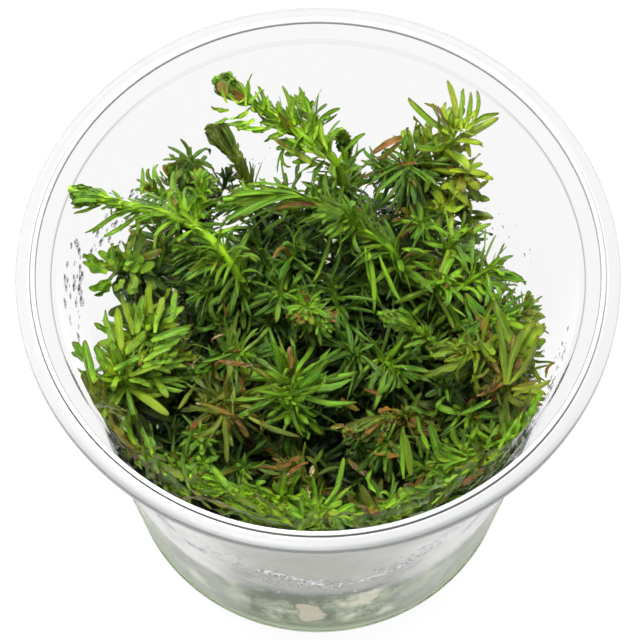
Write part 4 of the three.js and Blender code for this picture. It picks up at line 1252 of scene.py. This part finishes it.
# how leaves differ from one another, as a range or as a spread about 0, in a closed bud and in an open whorl
closedLeaves = dict(length=(0.85, 1.0), wide=1.6, spread=0.2, sway=0.05, twist=0.2, roll=0.1)
openLeaves = dict(length=(0.75, 1.25), spread=1.0, crownSpread=0.6, sway=0.3, twist=0.9, roll=0.35)

# places along a leaf, closer toward its tip, for a leaf in view and for one deep in the stand
fineStops = np.array([0, 0.12, 0.28, 0.45, 0.62, 0.78, 0.90, 0.97, 1.0])
fewStops = np.array([0, 0.25, 0.5, 0.75, 0.93, 1.0])
anyTurn = (0, 6.28)


def smoothRoute(points, steps=10):
    # centripetal Catmull-Rom curve through the points, as evenly as its steps
    points = [points[0] * 2 - points[1]] + points + [points[-1] * 2 - points[-2]]
    line = []
    for a, b, c, d in zip(points, points[1:], points[2:], points[3:]):
        ta = 0.0
        tb = ta + np.linalg.norm(b - a) ** 0.5
        tc = tb + np.linalg.norm(c - b) ** 0.5
        td = tc + np.linalg.norm(d - c) ** 0.5
        for k in range(steps):
            t = tb + (tc - tb) * k / steps
            ab = a * (tb - t) / (tb - ta) + b * (t - ta) / (tb - ta)
            bc = b * (tc - t) / (tc - tb) + c * (t - tb) / (tc - tb)
            cd = c * (td - t) / (td - tc) + d * (t - tc) / (td - tc)
            abc = ab * (tc - t) / (tc - ta) + bc * (t - ta) / (tc - ta)
            bcd = bc * (td - t) / (td - tb) + cd * (t - tb) / (td - tb)
            line.append(abc * (tc - t) / (tc - tb) + bcd * (t - tb) / (tc - tb))
    line.append(points[-2])
    return np.array(line)


def unit(vector):
    return vector / max(np.linalg.norm(vector), tiny)


def radial(azimuth):
    return np.array([math.cos(azimuth), math.sin(azimuth), 0])


def around(azimuth):
    return np.array([-math.sin(azimuth), math.cos(azimuth), 0])


def upward(height):
    return np.array([0, 0, height])


def stemFrames(line):
    # distance along the line, tangents, and a side direction carried along without twisting
    steps = np.linalg.norm(np.diff(line, axis=0), axis=1)
    along = np.concatenate([[0.0], np.cumsum(steps)])
    tangents = np.gradient(line, axis=0)
    tangents /= np.linalg.norm(tangents, axis=1)[:, None]
    side = unit(np.cross(tangents[0], [0.0, 1.0, 0.2]))
    sides = []
    for tangent in tangents:
        side = unit(side - tangent * np.dot(side, tangent))
        sides.append(side)
    return along, line, tangents, np.array(sides)


def frameAt(stem, distance):
    along, *tracks = stem
    place, tangent, side = (np.array([np.interp(distance, along, track[:, k]) for k in range(3)])
                            for track in tracks)
    tangent = unit(tangent)
    return place, tangent, unit(side - tangent * np.dot(side, tangent))


# a leaf's shape, as shares of its length and width
blade = dict(
    foot=(0.45, 0.55),          # narrow at the foot and full from footEnd on
    footEnd=0.35,
    footPower=0.7,
    tip=(0.25, 0.6),            # where it starts to narrow, and how much later when it is blunt
    sweepPower=0.7,
    ripple=(15, 6),             # waves along it in radians, and their shift from leaf to leaf
    crease=(9, 17),
    creaseLift=0.5,
    thinner=0.5,                # at its tip
    sides=(-1, 0, 1, 0.3),      # how far to the side its four edges are
    tipSteep=6,                 # how fast a withered tip sets in
)


def bladeWidth(t, blunt):
    # share of full width along a leaf: narrow foot, widest past the middle, round or pointed tip
    narrow, wider = blade["foot"]
    foot = narrow + wider * np.clip(t / blade["footEnd"], 0, 1) ** blade["footPower"]
    earliest, later = blade["tip"]
    start = earliest + later * blunt
    late = np.clip((t - start) / (1 - start), 0, 1)
    return foot * np.sqrt(1 - late ** 2)


def waveAlong(t, leaf, half, wave):
    often, shift = wave
    return leaf["ripple"] * half * np.sin(t * often + leaf["chance"] * shift)


def facesFor(rings):
    quads = [(4 * i + k, 4 * i + (k + 1) % 4, 4 * i + 4 + (k + 1) % 4, 4 * i + 4 + k)
             for i in range(rings - 1) for k in range(4)]
    quads.append((3, 2, 1, 0))
    last = 4 * (rings - 1)
    tips = [(last + k, last + (k + 1) % 4, 4 * rings) for k in range(4)]
    return np.array(quads), np.array(tips)


leafFaces = {len(stops) - 1: facesFor(len(stops) - 1) for stops in (fineStops, fewStops)}


def growLeaf(parts, root, tangent, outward, leaf):
    # a flat four-sided tube: left edge, upper side, right edge and underside at each stop, and a tip
    t = fewStops if root[2] < growth["fineAbove"] else fineStops
    rings = len(t) - 1
    lean = leaf["angle"] + leaf["bend"] * t + leaf["curl"] * t ** 3
    heading = np.cos(lean)[:, None] * tangent + np.sin(lean)[:, None] * outward
    side = unit(np.cross(tangent, outward))
    heading = heading + side * (leaf["sway"] * t[:, None])
    heading = heading + leaf["sweep"] * (t[:, None] ** blade["sweepPower"])
    heading /= np.linalg.norm(heading, axis=1)[:, None]
    step = np.diff(t)[:, None] * leaf["length"]
    steps = np.cumsum((heading[:-1] + heading[1:]) / 2 * step, axis=0)
    middle = root + np.concatenate([[np.zeros(3)], steps])
    middle[:, 2] -= leaf["droop"] * leaf["length"] * t ** 2
    twist = leaf["twist"] * t + leaf["roll"]
    normal = np.cross(side, heading)
    across = np.cos(twist)[:, None] * side + np.sin(twist)[:, None] * normal
    face = np.cross(across, heading)
    half = leaf["width"] / 2 * bladeWidth(t, leaf["blunt"])
    ripple = waveAlong(t, leaf, half, blade["ripple"])
    crease = waveAlong(t, leaf, half, blade["crease"])
    lift = blade["creaseLift"] * crease
    thick = growth["leafThickness"] * (1 - blade["thinner"] * t)
    fold = leaf["fold"] * half
    ring = np.stack([
        middle - across * half[:, None] + face * (fold + ripple)[:, None],
        middle + face * (thick + lift)[:, None],
        middle + across * half[:, None] + face * (fold - crease)[:, None],
        middle + face * (lift - thick)[:, None],
    ], axis=1)
    count = 4 * rings + 1
    place = np.empty((count, 3))
    place[:-1, 0] = np.repeat(t[:-1], 4)
    place[:-1, 1] = np.tile(blade["sides"], rings)
    place[-1, :2] = (1, 0)
    place[:, 2] = leaf["chance"]
    tipWither = np.clip((place[:, 0] - leaf["tipFrom"]) * blade["tipSteep"], 0, 1)
    state = np.empty((count, 3))
    state[:, 0] = np.maximum(leaf["wither"], leaf["tipWither"] * tipWither)
    state[:, 1:] = (leaf["age"], leaf["shade"])
    quads, tips = leafFaces[rings]
    addPart(parts, np.concatenate([ring[:-1].reshape(-1, 3), middle[-1:]]), [quads], [tips], place, state)


def addPart(parts, points, quads, tips, place, state):
    start = parts["count"]
    parts["points"].append(points)
    parts["quads"] += [faces + start for faces in quads]
    parts["tips"] += [faces + start for faces in tips]
    parts["place"].append(place)
    parts["state"].append(state)
    parts["count"] += len(points)


def growStem(parts, stem, rng, width, wither):
    along, line = stem[:2]
    count = max(growth["fewestSteps"], int(along[-1] / growth["stemStep"]))
    n = growth["stemSides"]
    thickest, taper = growth["stemTaper"]
    turn = 2 * math.pi * np.arange(n) / n
    rows = []
    for i in range(count + 1):
        place, tangent, side = frameAt(stem, along[-1] * i / count)
        radius = width * (thickest - taper * i / count) * rng.uniform(*growth["stemUneven"])
        beside = np.cross(tangent, side)
        rows.append(place + radius * (np.cos(turn)[:, None] * side + np.sin(turn)[:, None] * beside))
    points = np.concatenate([*rows, line[:1], line[-1:]])
    ring = np.arange(n)
    nextRing = (ring + 1) % n
    quads = [np.stack([a + ring, a + nextRing, a + n + nextRing, a + n + ring], axis=1)
             for a in range(0, n * count, n)]
    top = n * count
    first = n * (count + 1)
    tips = [np.stack([nextRing, ring, np.full(n, first)], axis=1),
            np.stack([top + ring, top + nextRing, np.full(n, first + 1)], axis=1)]
    place = np.tile([*growth["stemPlace"], rng.uniform(*growth["stemChance"])], (len(points), 1))
    state = np.tile([wither, growth["stemAge"], 0.0], (len(points), 1))
    addPart(parts, points, quads, tips, place, state)


# how the leaves of a whorl vary by chance: ranges, or spreads about 0
varied = dict(
    least=2,                    # degrees off the stem
    bend=1.3,                   # times the habit's spread
    width=(0.65, 1.3),
    narrower=(0.6, 0.4),        # a short leaf is narrower too
    curl=(1.2, 3.2),
    blunt=(0.7, 1.2),
    droop=(0, 2),
    sweep=(0.4, 1.3),
    fold=(0.1, 0.75),
    calmShare=0.6,              # of the leaves is hardly rippled
    calm=(0, 0.2),
    rippled=(0.25, 0.75),
    wither=(0.3, 0.85),
    tipShare=0.2,               # of the leaves has a withered tip
    tipWither=(0.3, 0.9),
    tipFrom=(0.8, 0.93),
    age=(0.5, 1.0),
    shade=0.2,
)


def whorlLeaf(rng, shoot, habit, distance, whorl, sweep, age, leafLength):
    # one leaf of a whorl, bent, twisted, withered and shaded by chance
    share, angle, bend, crown = whorl
    closed = habit is habits["bud"] and distance < growth["budLength"]
    kind = closedLeaves if closed else openLeaves
    spread = habit["spread"] * (openLeaves["crownSpread"] if crown and not closed else kind["spread"])
    wide = closedLeaves["wide"] if closed else habit["wide"]
    withered = rng.random() < shoot["wither"]
    v = varied
    narrow, wider = v["narrower"]
    return dict(
        angle=math.radians(max(v["least"], angle + rng.normal(0, spread))),
        bend=math.radians(bend + rng.normal(0, spread * v["bend"])),
        length=leafLength * share * rng.uniform(*kind["length"]),
        width=wide * shoot["wide"] * mm * rng.uniform(*v["width"]) * (narrow + wider * share),
        curl=rng.uniform(*v["curl"]) if rng.random() < shoot["curled"] and not closed else 0.0,
        blunt=1.0 if closed else min(1.0, habit["blunt"] * rng.uniform(*v["blunt"])),
        sway=rng.normal(0, kind["sway"]),
        droop=habit["droop"] * rng.uniform(*v["droop"]),
        sweep=sweep * rng.uniform(*v["sweep"]),
        twist=rng.normal(0, kind["twist"]),
        roll=rng.normal(0, kind["roll"]),
        fold=rng.uniform(*v["fold"]),
        ripple=rng.uniform(*v["calm" if rng.random() < v["calmShare"] else "rippled"]),
        chance=rng.random(),
        wither=rng.uniform(*v["wither"]) if withered else 0.0,
        tipWither=rng.uniform(*v["tipWither"]) if rng.random() < v["tipShare"] + shoot["wither"] else 0.0,
        tipFrom=rng.uniform(*v["tipFrom"]),
        age=age * rng.uniform(*v["age"]),
        shade=rng.normal(0, v["shade"]) + (habit["budShade"] if distance < growth["budLength"] else 0.0),
    )


# the whorls below the crown: the first one's distance, how close to the root they go, and how they vary
lowWhorls = dict(first=0.8, until=2 * mm, share=(0.85, 1.05), angle=7, spacing=(0.8, 1.25))


def whorlsAlong(rng, habit, length):
    # the crown's whorls as given, then evenly spaced ones down to the stem's foot
    whorls = [(row[0] * mm, *row[1:], True) for row in habit["crown"]]
    spacing = habit["spacing"] * mm
    distance = whorls[-1][0] + spacing * lowWhorls["first"]
    while distance < length - lowWhorls["until"]:
        share = habit["share"] * rng.uniform(*lowWhorls["share"])
        angle = habit["angle"] + rng.normal(0, lowWhorls["angle"])
        whorls.append((distance, habit["count"], share, angle, habit["bend"], False))
        distance += spacing * rng.uniform(*lowWhorls["spacing"])
    return whorls


def growAxis(parts, rng, shoot, habit, points, leafLength, older=0.0, sprig=False):
    # one stem with its whorls of leaves; older is the age at its tip
    stem = stemFrames(smoothRoute(points))
    length = stem[0][-1]
    dryness = growth["dryStem"] if shoot["tone"] in dryTones else 0.0
    thickness = growth["sprigStem"] if sprig else shoot["stem"]
    growStem(parts, stem, rng, growth["stemRadius"] * thickness, dryness)
    whorls = whorlsAlong(rng, habit, length)
    turn = rng.uniform(*anyTurn)
    usual, more = growth["sweep"]
    sweep = shoot["sweep"] if "sweep" in shoot else rng.normal(0, usual, 3) * growth["sweepAxes"]
    sweep = np.array(sweep) + (rng.normal(0, more, 3) if sprig else 0)
    missing = growth["missing"]
    for distance, count, *whorl in whorls:
        if distance > length:
            break
        crown = whorl[-1]
        place, tangent, side = frameAt(stem, length - distance)
        beside = np.cross(tangent, side)
        turn += math.pi / count + rng.normal(0, growth["whorlTurn"])
        gone = missing["crown" if crown else "low" if place[2] < growth["bareBelow"] else "high"]
        age = min(1.0, older + max(0.0, distance - growth["freshLength"]) / growth["ageing"])
        if distance < growth["darkLength"] and not sprig:
            age += shoot["budDark"]
        count = round(count * (1 if crown and habit is habits["bud"] else shoot["fuller"]))
        for k in range(count):
            if rng.random() < gone:
                continue
            off = rng.normal(0, growth["leafTurn"]["crown" if crown else "low"])
            azimuth = turn + 2 * math.pi * k / count + off
            outward = math.cos(azimuth) * side + math.sin(azimuth) * beside
            leaf = whorlLeaf(rng, shoot, habit, distance, whorl, sweep, age, leafLength)
            root = place + outward * growth["stemRadius"] * growth["leafRoot"]
            growLeaf(parts, root, tangent, outward, leaf)
    return stem


def fromPicture(crop, seen):
    # the place of a point in an enlarged part of the photograph, from its pixels there and its height in mm
    view = photoView
    middle = view["pixels"] / 2
    across = crop["corner"][0] + seen[0] / crop["enlarged"] - middle + view["sideShift"] * view["pixels"]
    down = crop["corner"][1] + seen[1] / crop["enlarged"] - middle
    tilt = math.radians(view["elevation"] + view["tiltDown"])
    rise = math.radians(view["elevation"])
    eye = np.array([0, -math.cos(rise), math.sin(rise)]) * view["distance"] + upward(view["rimHeight"])
    ahead = np.array([0, math.cos(tilt), -math.sin(tilt)])
    up = np.array([0, math.sin(tilt), math.cos(tilt)])
    ray = ahead - up * down / view["lensPixels"] + np.array([across / view["lensPixels"], 0, 0])
    return eye + ray * (seen[2] * mm - eye[2]) / ray[2]


# how leaves laid one by one or pressed on the wall vary by chance: ranges, or spreads about 0
placed = dict(
    blunt=(0.3, 0.75),
    twist=0.5,
    fold=(0.2, 0.8),
    ripple=(0.3, 0.9),
    tipFrom=(0.7, 0.9),
    shade=0.15,
    laidRoll=0.4,
    laidWidth=0.8,              # of the width that was read
    laidTip=(1.5, 0.15),        # a tip is more withered than its leaf
    pressedRoll=0.5,
    pressedBend=(0, 0.7),
    pressedWither=(0.7, 4),     # the most, and the power that makes it rare
    pressedTip=(0.5, 2),
    pressedAge=(0, 0.35),
)
# what both kinds lack
straight = dict(curl=0.0, sway=0.0, sweep=np.zeros(3), droop=0.0)
# about the way to the camera
towardView = (0, -0.45, 0.9)


def layLeaf(parts, rng, crop, foot, tip, width, wither, curl):
    # one leaf on an arc from its foot to its tip; the arc bends to one side in the camera's view
    foot, tip = fromPicture(crop, foot), fromPicture(crop, tip)
    way = unit(tip - foot)
    beside = unit(np.cross(way, towardView))
    bow = abs(curl) / 2
    length = np.linalg.norm(tip - foot) * (bow / math.sin(bow) if bow > 0.01 else 1)
    p = placed
    worse, least = p["laidTip"]
    leaf = dict(
        straight,
        angle=-bow,
        bend=2 * bow,
        length=length,
        width=width * p["laidWidth"] * mm,
        blunt=rng.uniform(*p["blunt"]),
        twist=rng.normal(0, p["twist"]),
        roll=math.pi / 2 + rng.normal(0, p["laidRoll"]),
        fold=rng.uniform(*p["fold"]),
        ripple=rng.uniform(*p["ripple"]),
        chance=rng.random(),
        wither=wither,
        tipWither=min(1.0, wither * worse + least),
        tipFrom=rng.uniform(*p["tipFrom"]),
        age=0.0,
        shade=rng.normal(0, p["shade"]),
    )
    growLeaf(parts, foot, way, beside if curl > 0 else -beside, leaf)


# leaves that lie against the near wall, on some shoots between the azimuths in degrees; sizes in mm
pressed = dict(
    height=(67, 81),
    inside=(0.3, 2.2),
    length=(4.5, 9.0),
    width=(0.8, 1.6),
    along=(0.3, 1.0),       # a leaf's way along the wall, upward and inward
    rise=(-0.2, 1.0),
    inward=(0, 0.3),
    patches=[
        dict(shoot=41, azimuth=(-150, -128), count=14),
        dict(shoot=28, azimuth=(-140, -100), count=36),
        dict(shoot=40, azimuth=(-136, -112), count=12),
        dict(shoot=29, azimuth=(-106, -70), count=34),
        dict(shoot=31, azimuth=(-80, -36), count=46),
        dict(shoot=34, azimuth=(-82, -56), count=14),
        dict(shoot=37, azimuth=(-50, -32), count=14),
    ],
)


def pressLeaf(parts, rng, patch):
    azimuth = math.radians(rng.uniform(*patch["azimuth"]))
    height = rng.uniform(*pressed["height"]) * mm
    radius = innerWall(height) - rng.uniform(*pressed["inside"]) * mm
    outward = radial(azimuth)
    along = around(azimuth) * rng.choice([-1, 1])
    rising = along * rng.uniform(*pressed["along"]) + upward(rng.uniform(*pressed["rise"]))
    way = unit(rising - outward * rng.uniform(*pressed["inward"]))
    p = placed
    most, power = p["pressedWither"]
    mostTip, tipPower = p["pressedTip"]
    leaf = dict(
        straight,
        angle=0.0,
        bend=rng.uniform(*p["pressedBend"]),
        length=rng.uniform(*pressed["length"]) * mm,
        width=rng.uniform(*pressed["width"]) * mm,
        blunt=rng.uniform(*p["blunt"]),
        twist=rng.normal(0, p["twist"]),
        roll=math.pi / 2 + rng.normal(0, p["pressedRoll"]),
        fold=rng.uniform(*p["fold"]),
        ripple=rng.uniform(*p["ripple"]),
        chance=rng.random(),
        wither=most * rng.random() ** power,
        tipWither=mostTip * rng.random() ** tipPower,
        tipFrom=rng.uniform(*p["tipFrom"]),
        age=rng.uniform(*p["pressedAge"]),
        shade=rng.normal(0, p["shade"]),
    )
    growLeaf(parts, outward * radius + upward(height), way, unit(np.cross(way, outward)), leaf)


# short leafy side shoots, in mm, and as shares
sprigs = dict(
    apart=8,
    turn=2.4,
    reach=(5, 9),
    rise=(2, 6),
    middle=(0.55, 0.35),        # of the reach and of the rise
    leaf=(0.6, 0.85),
    oldest=0.8,
    older=0.5,
)


def growSprigs(parts, rng, shoot, stem):
    habit = habits[shoot["habit"]]
    crown = habits["brush" if shoot["habit"] in ("bud", "sheaf") else "star"]["crown"]
    leafLength = shoot["leaf"] * mm
    turn = rng.uniform(*anyTurn)
    out, up = sprigs["middle"]
    for k in range(shoot.get("sprigs", habit["sprigs"])):
        back = rng.uniform(*habit["sprigsFrom"]) * mm + k * sprigs["apart"] * mm
        place, tangent, side = frameAt(stem, stem[0][-1] - back)
        turn += sprigs["turn"]
        outward = math.cos(turn) * side + math.sin(turn) * np.cross(tangent, side)
        reach = rng.uniform(*sprigs["reach"]) * mm
        rise = rng.uniform(*sprigs["rise"]) * mm
        middle = place + outward * reach * out + tangent * rise * up
        tip = place + outward * reach + tangent * rise
        shorter = leafLength * rng.uniform(*sprigs["leaf"])
        older = min(sprigs["oldest"], back / growth["ageing"] * sprigs["older"])
        growAxis(parts, rng, shoot, dict(habit, crown=crown), [place, middle, tip], shorter, older, True)


def growShoot(number, shoot):
    rng = np.random.default_rng(growth["seed"] * 100 + number - 1)
    root, *others = shoot["route"]
    points = [np.array(place) * mm for place in ((*root, gel["top"] / mm), *others)]
    below = points[0] - upward(growth["rootDepth"])
    if "lean" in shoot:
        points.insert(-1, points[-1] - np.array([*shoot["lean"], growth["leanRise"]]) * mm)
    parts = dict(points=[], quads=[], tips=[], place=[], state=[], count=0)
    stem = growAxis(parts, rng, shoot, habits[shoot["habit"]], [below] + points, shoot["leaf"] * mm)
    growSprigs(parts, rng, shoot, stem)
    for group in laidLeaves:
        if group["shoot"] == number:
            for leaf in group["leaves"]:
                layLeaf(parts, rng, crops[group["crop"]], *leaf)
    for patch in pressed["patches"]:
        if patch["shoot"] == number:
            for _ in range(patch["count"]):
                pressLeaf(parts, rng, patch)
    grown = {key: np.concatenate(parts[key]) for key in ("points", "quads", "tips", "place", "state")}
    grown["points"] = keepInCup(grown["points"])
    return grown


def keepInCup(points):
    # leaves that reach the wall lie along it, and none stands above the rim's own headroom
    x, y, z = points.T.copy()
    z = np.clip(z, cup["wall"] + growth["bottomLimit"], growth["topLimit"])
    wallTop = cup["wallTopHeight"]
    mouth = np.interp(z, [wallTop, cup["flangeHeight"] + growth["mouthRise"]], [0, growth["mouthReach"]])
    limit = innerWall(np.minimum(z, wallTop)) + mouth - growth["wallGap"]
    pull = np.minimum(1, limit / np.maximum(np.hypot(x, y), tiny))
    return np.stack([x * pull, y * pull, z], axis=1)


def gridCells(points):
    half = cup["rimRadius"]
    return tuple(((points[:, :2] + half) / growth["cell"]).astype(int).T)


def leafRoof(allGrown):
    # height of the uppermost leaves over a grid of the cup's mouth, softened over the neighbouring cells
    cells = int(2 * cup["rimRadius"] / growth["cell"]) + 2
    roof = np.full((cells, cells), gel["top"])
    for grown in allGrown:
        np.maximum.at(roof, gridCells(grown["points"]), grown["points"][:, 2])
    for _ in range(growth["softenings"]):
        roof = (roof + sum(np.roll(roof, step, axis) for step in (1, -1) for axis in (0, 1))) / 5
    return roof


# leaves close to the near wall stay lighter, painted light through the wall: within these gaps to the wall,
# from these places toward the camera, and above this height
wallLight = dict(gap=(2 * mm, 5 * mm), toward=(5 * mm, 15 * mm), above=64 * mm, share=0.75)


def between(value, low, high):
    # value brought from low..high to 0..1
    return np.clip((value - low) / (high - low), 0, 1)


def ageAndShadeOf(shoot, grown, roof):
    # a leaf is as dark as its age or its depth under the leaves above makes it, that depth as painted shade;
    # its shoot's own darkness adds to it, and close to the near wall it is painted lighter as painted light
    x, y, z = grown["points"].T
    shaded = between(roof[gridCells(grown["points"])] - z, *growth["shaded"]) ** growth["shadePower"]
    gap = innerWall(np.minimum(z, cup["wallTopHeight"])) - np.hypot(x, y)
    lit = (1 - between(gap, *wallLight["gap"])) * between(-y, *wallLight["toward"]) * (z > wallLight["above"])
    dim = shoot["dark"] * (growth["dimmest"] + grown["place"][:, 2])
    age = np.clip(np.maximum(grown["state"][:, 1] * growth["ageShare"], shaded) + dim, 0, 1)
    return age * (1 - wallLight["share"] * lit)


def makeShoot(number, shoot, grown, roof):
    grown["state"][:, 1] = ageAndShadeOf(shoot, grown, roof)
    name = "rotalaShoot%02d" % number
    mesh = bpy.data.meshes.new(name)
    mesh.from_pydata(grown["points"].tolist(), [], grown["quads"].tolist() + grown["tips"].tolist())
    for attribute, key in (("leafPlace", "place"), ("leafState", "state")):
        layer = mesh.attributes.new(attribute, "FLOAT_VECTOR", "POINT")
        layer.data.foreach_set("vector", grown[key].astype(np.float32).ravel())
    mesh.shade_smooth()
    mesh.set_sharp_from_angle(angle=math.radians(growth["sharpFrom"]))
    mesh.materials.append(leafMaterials[shoot["tone"]])
    linkPiece(name, mesh, "shoot_%02d" % number)


allGrown = [growShoot(number, shoot) for number, shoot in enumerate(shoots, 1)]
roof = leafRoof(allGrown)
for number, (shoot, grown) in enumerate(zip(shoots, allGrown), 1):
    makeShoot(number, shoot, grown, roof)
triangles = sum(2 * len(grown["quads"]) + len(grown["tips"]) for grown in allGrown)
print("shoots grown:", len(shoots), "with", triangles, "triangles")

# condensation: clear drops on the wall's inside, in patches by azimuth in degrees, height and radius in mm
drops = dict(
    seed=7,
    rings=3,
    sides=10,
    flatness=0.55,
    inset=0.01 * mm,        # their feet are this far into the wall
    smaller=2.2,            # the higher, the more of them are small
    patches=[
        dict(azimuth=(166, 186), height=(62, 77), count=45, radius=(0.25, 1.0), tall=1.7),
        dict(azimuth=(140, 164), height=(54, 68), count=50, radius=(0.2, 0.9), tall=1.3),
        dict(azimuth=(-32, -8), height=(60, 76), count=90, radius=(0.15, 0.6), tall=1.4),
        dict(azimuth=(20, 160), height=(30, 60), count=140, radius=(0.10, 0.4), tall=1.3),
        # the line of beads where the mist on the near side ends
        dict(azimuth=(-108, -86), height=(35, 43), count=240, radius=(0.2, 0.42), tall=2.2),
        dict(azimuth=(-86, -76), height=(37, 41), count=40, radius=(0.2, 0.45), tall=2.2),
        dict(azimuth=(-76, -69), height=(41, 45), count=45, radius=(0.2, 0.45), tall=2.2),
        dict(azimuth=(-69, -57), height=(43, 49), count=80, radius=(0.15, 0.4), tall=2.2),
        dict(azimuth=(-57, -40), height=(46, 56), count=70, radius=(0.15, 0.4), tall=2.2),
        dict(azimuth=(-122, -108), height=(40, 50), count=70, radius=(0.15, 0.4), tall=2.2),
        dict(azimuth=(-150, -30), height=(28.6, 31), count=60, radius=(0.14, 0.35), tall=1.4),
    ],
    water={"Base Color": (0.97, 0.98, 0.98), "Roughness": 0.02, "IOR": 1.33, "Transmission Weight": 1.0},
)


def addDrop(points, faces, centre, radius, out, along, tall):
    # a flat closed cap of rings, with its foot on the wall
    start = len(points)
    sides, rings = drops["sides"], drops["rings"]
    for ring in range(rings):
        lift = math.radians(90 * ring / rings)
        for k in range(sides):
            turn = 2 * math.pi * k / sides
            flat = along * math.cos(turn) + upward(tall * math.sin(turn))
            domed = math.cos(lift) * flat - out * drops["flatness"] * math.sin(lift)
            points.append(centre + radius * domed)
    points.append(centre - radius * drops["flatness"] * out)
    for ring in range(rings - 1):
        for k in range(sides):
            a = start + ring * sides
            n = (k + 1) % sides
            faces.append((a + n, a + k, a + sides + k, a + sides + n))
    last = start + (rings - 1) * sides
    for k in range(sides):
        faces.append((last + (k + 1) % sides, last + k, len(points) - 1))
    faces.append(tuple(start + k for k in range(sides)))


def makeDrops():
    rng = np.random.default_rng(drops["seed"])
    points = []
    faces = []
    for patch in drops["patches"]:
        for _ in range(patch["count"]):
            azimuth = math.radians(rng.uniform(*patch["azimuth"]))
            height = rng.uniform(*patch["height"]) * mm
            low, high = patch["radius"]
            radius = (low + (high - low) * rng.random() ** drops["smaller"]) * mm
            out = radial(azimuth)
            centre = out * (innerWall(height) + drops["inset"]) + upward(height)
            addDrop(points, faces, centre, radius, out, around(azimuth), patch["tall"])
    mesh = bpy.data.meshes.new("condensationDrops")
    mesh.from_pydata([tuple(p) for p in points], [], faces)
    mesh.shade_smooth()
    material, shader = newMaterial("clearWater")
    feedAll(shader, drops["water"])
    mesh.materials.append(material)
    linkPiece("condensationDrops", mesh)


makeDrops()
print("condensation made")
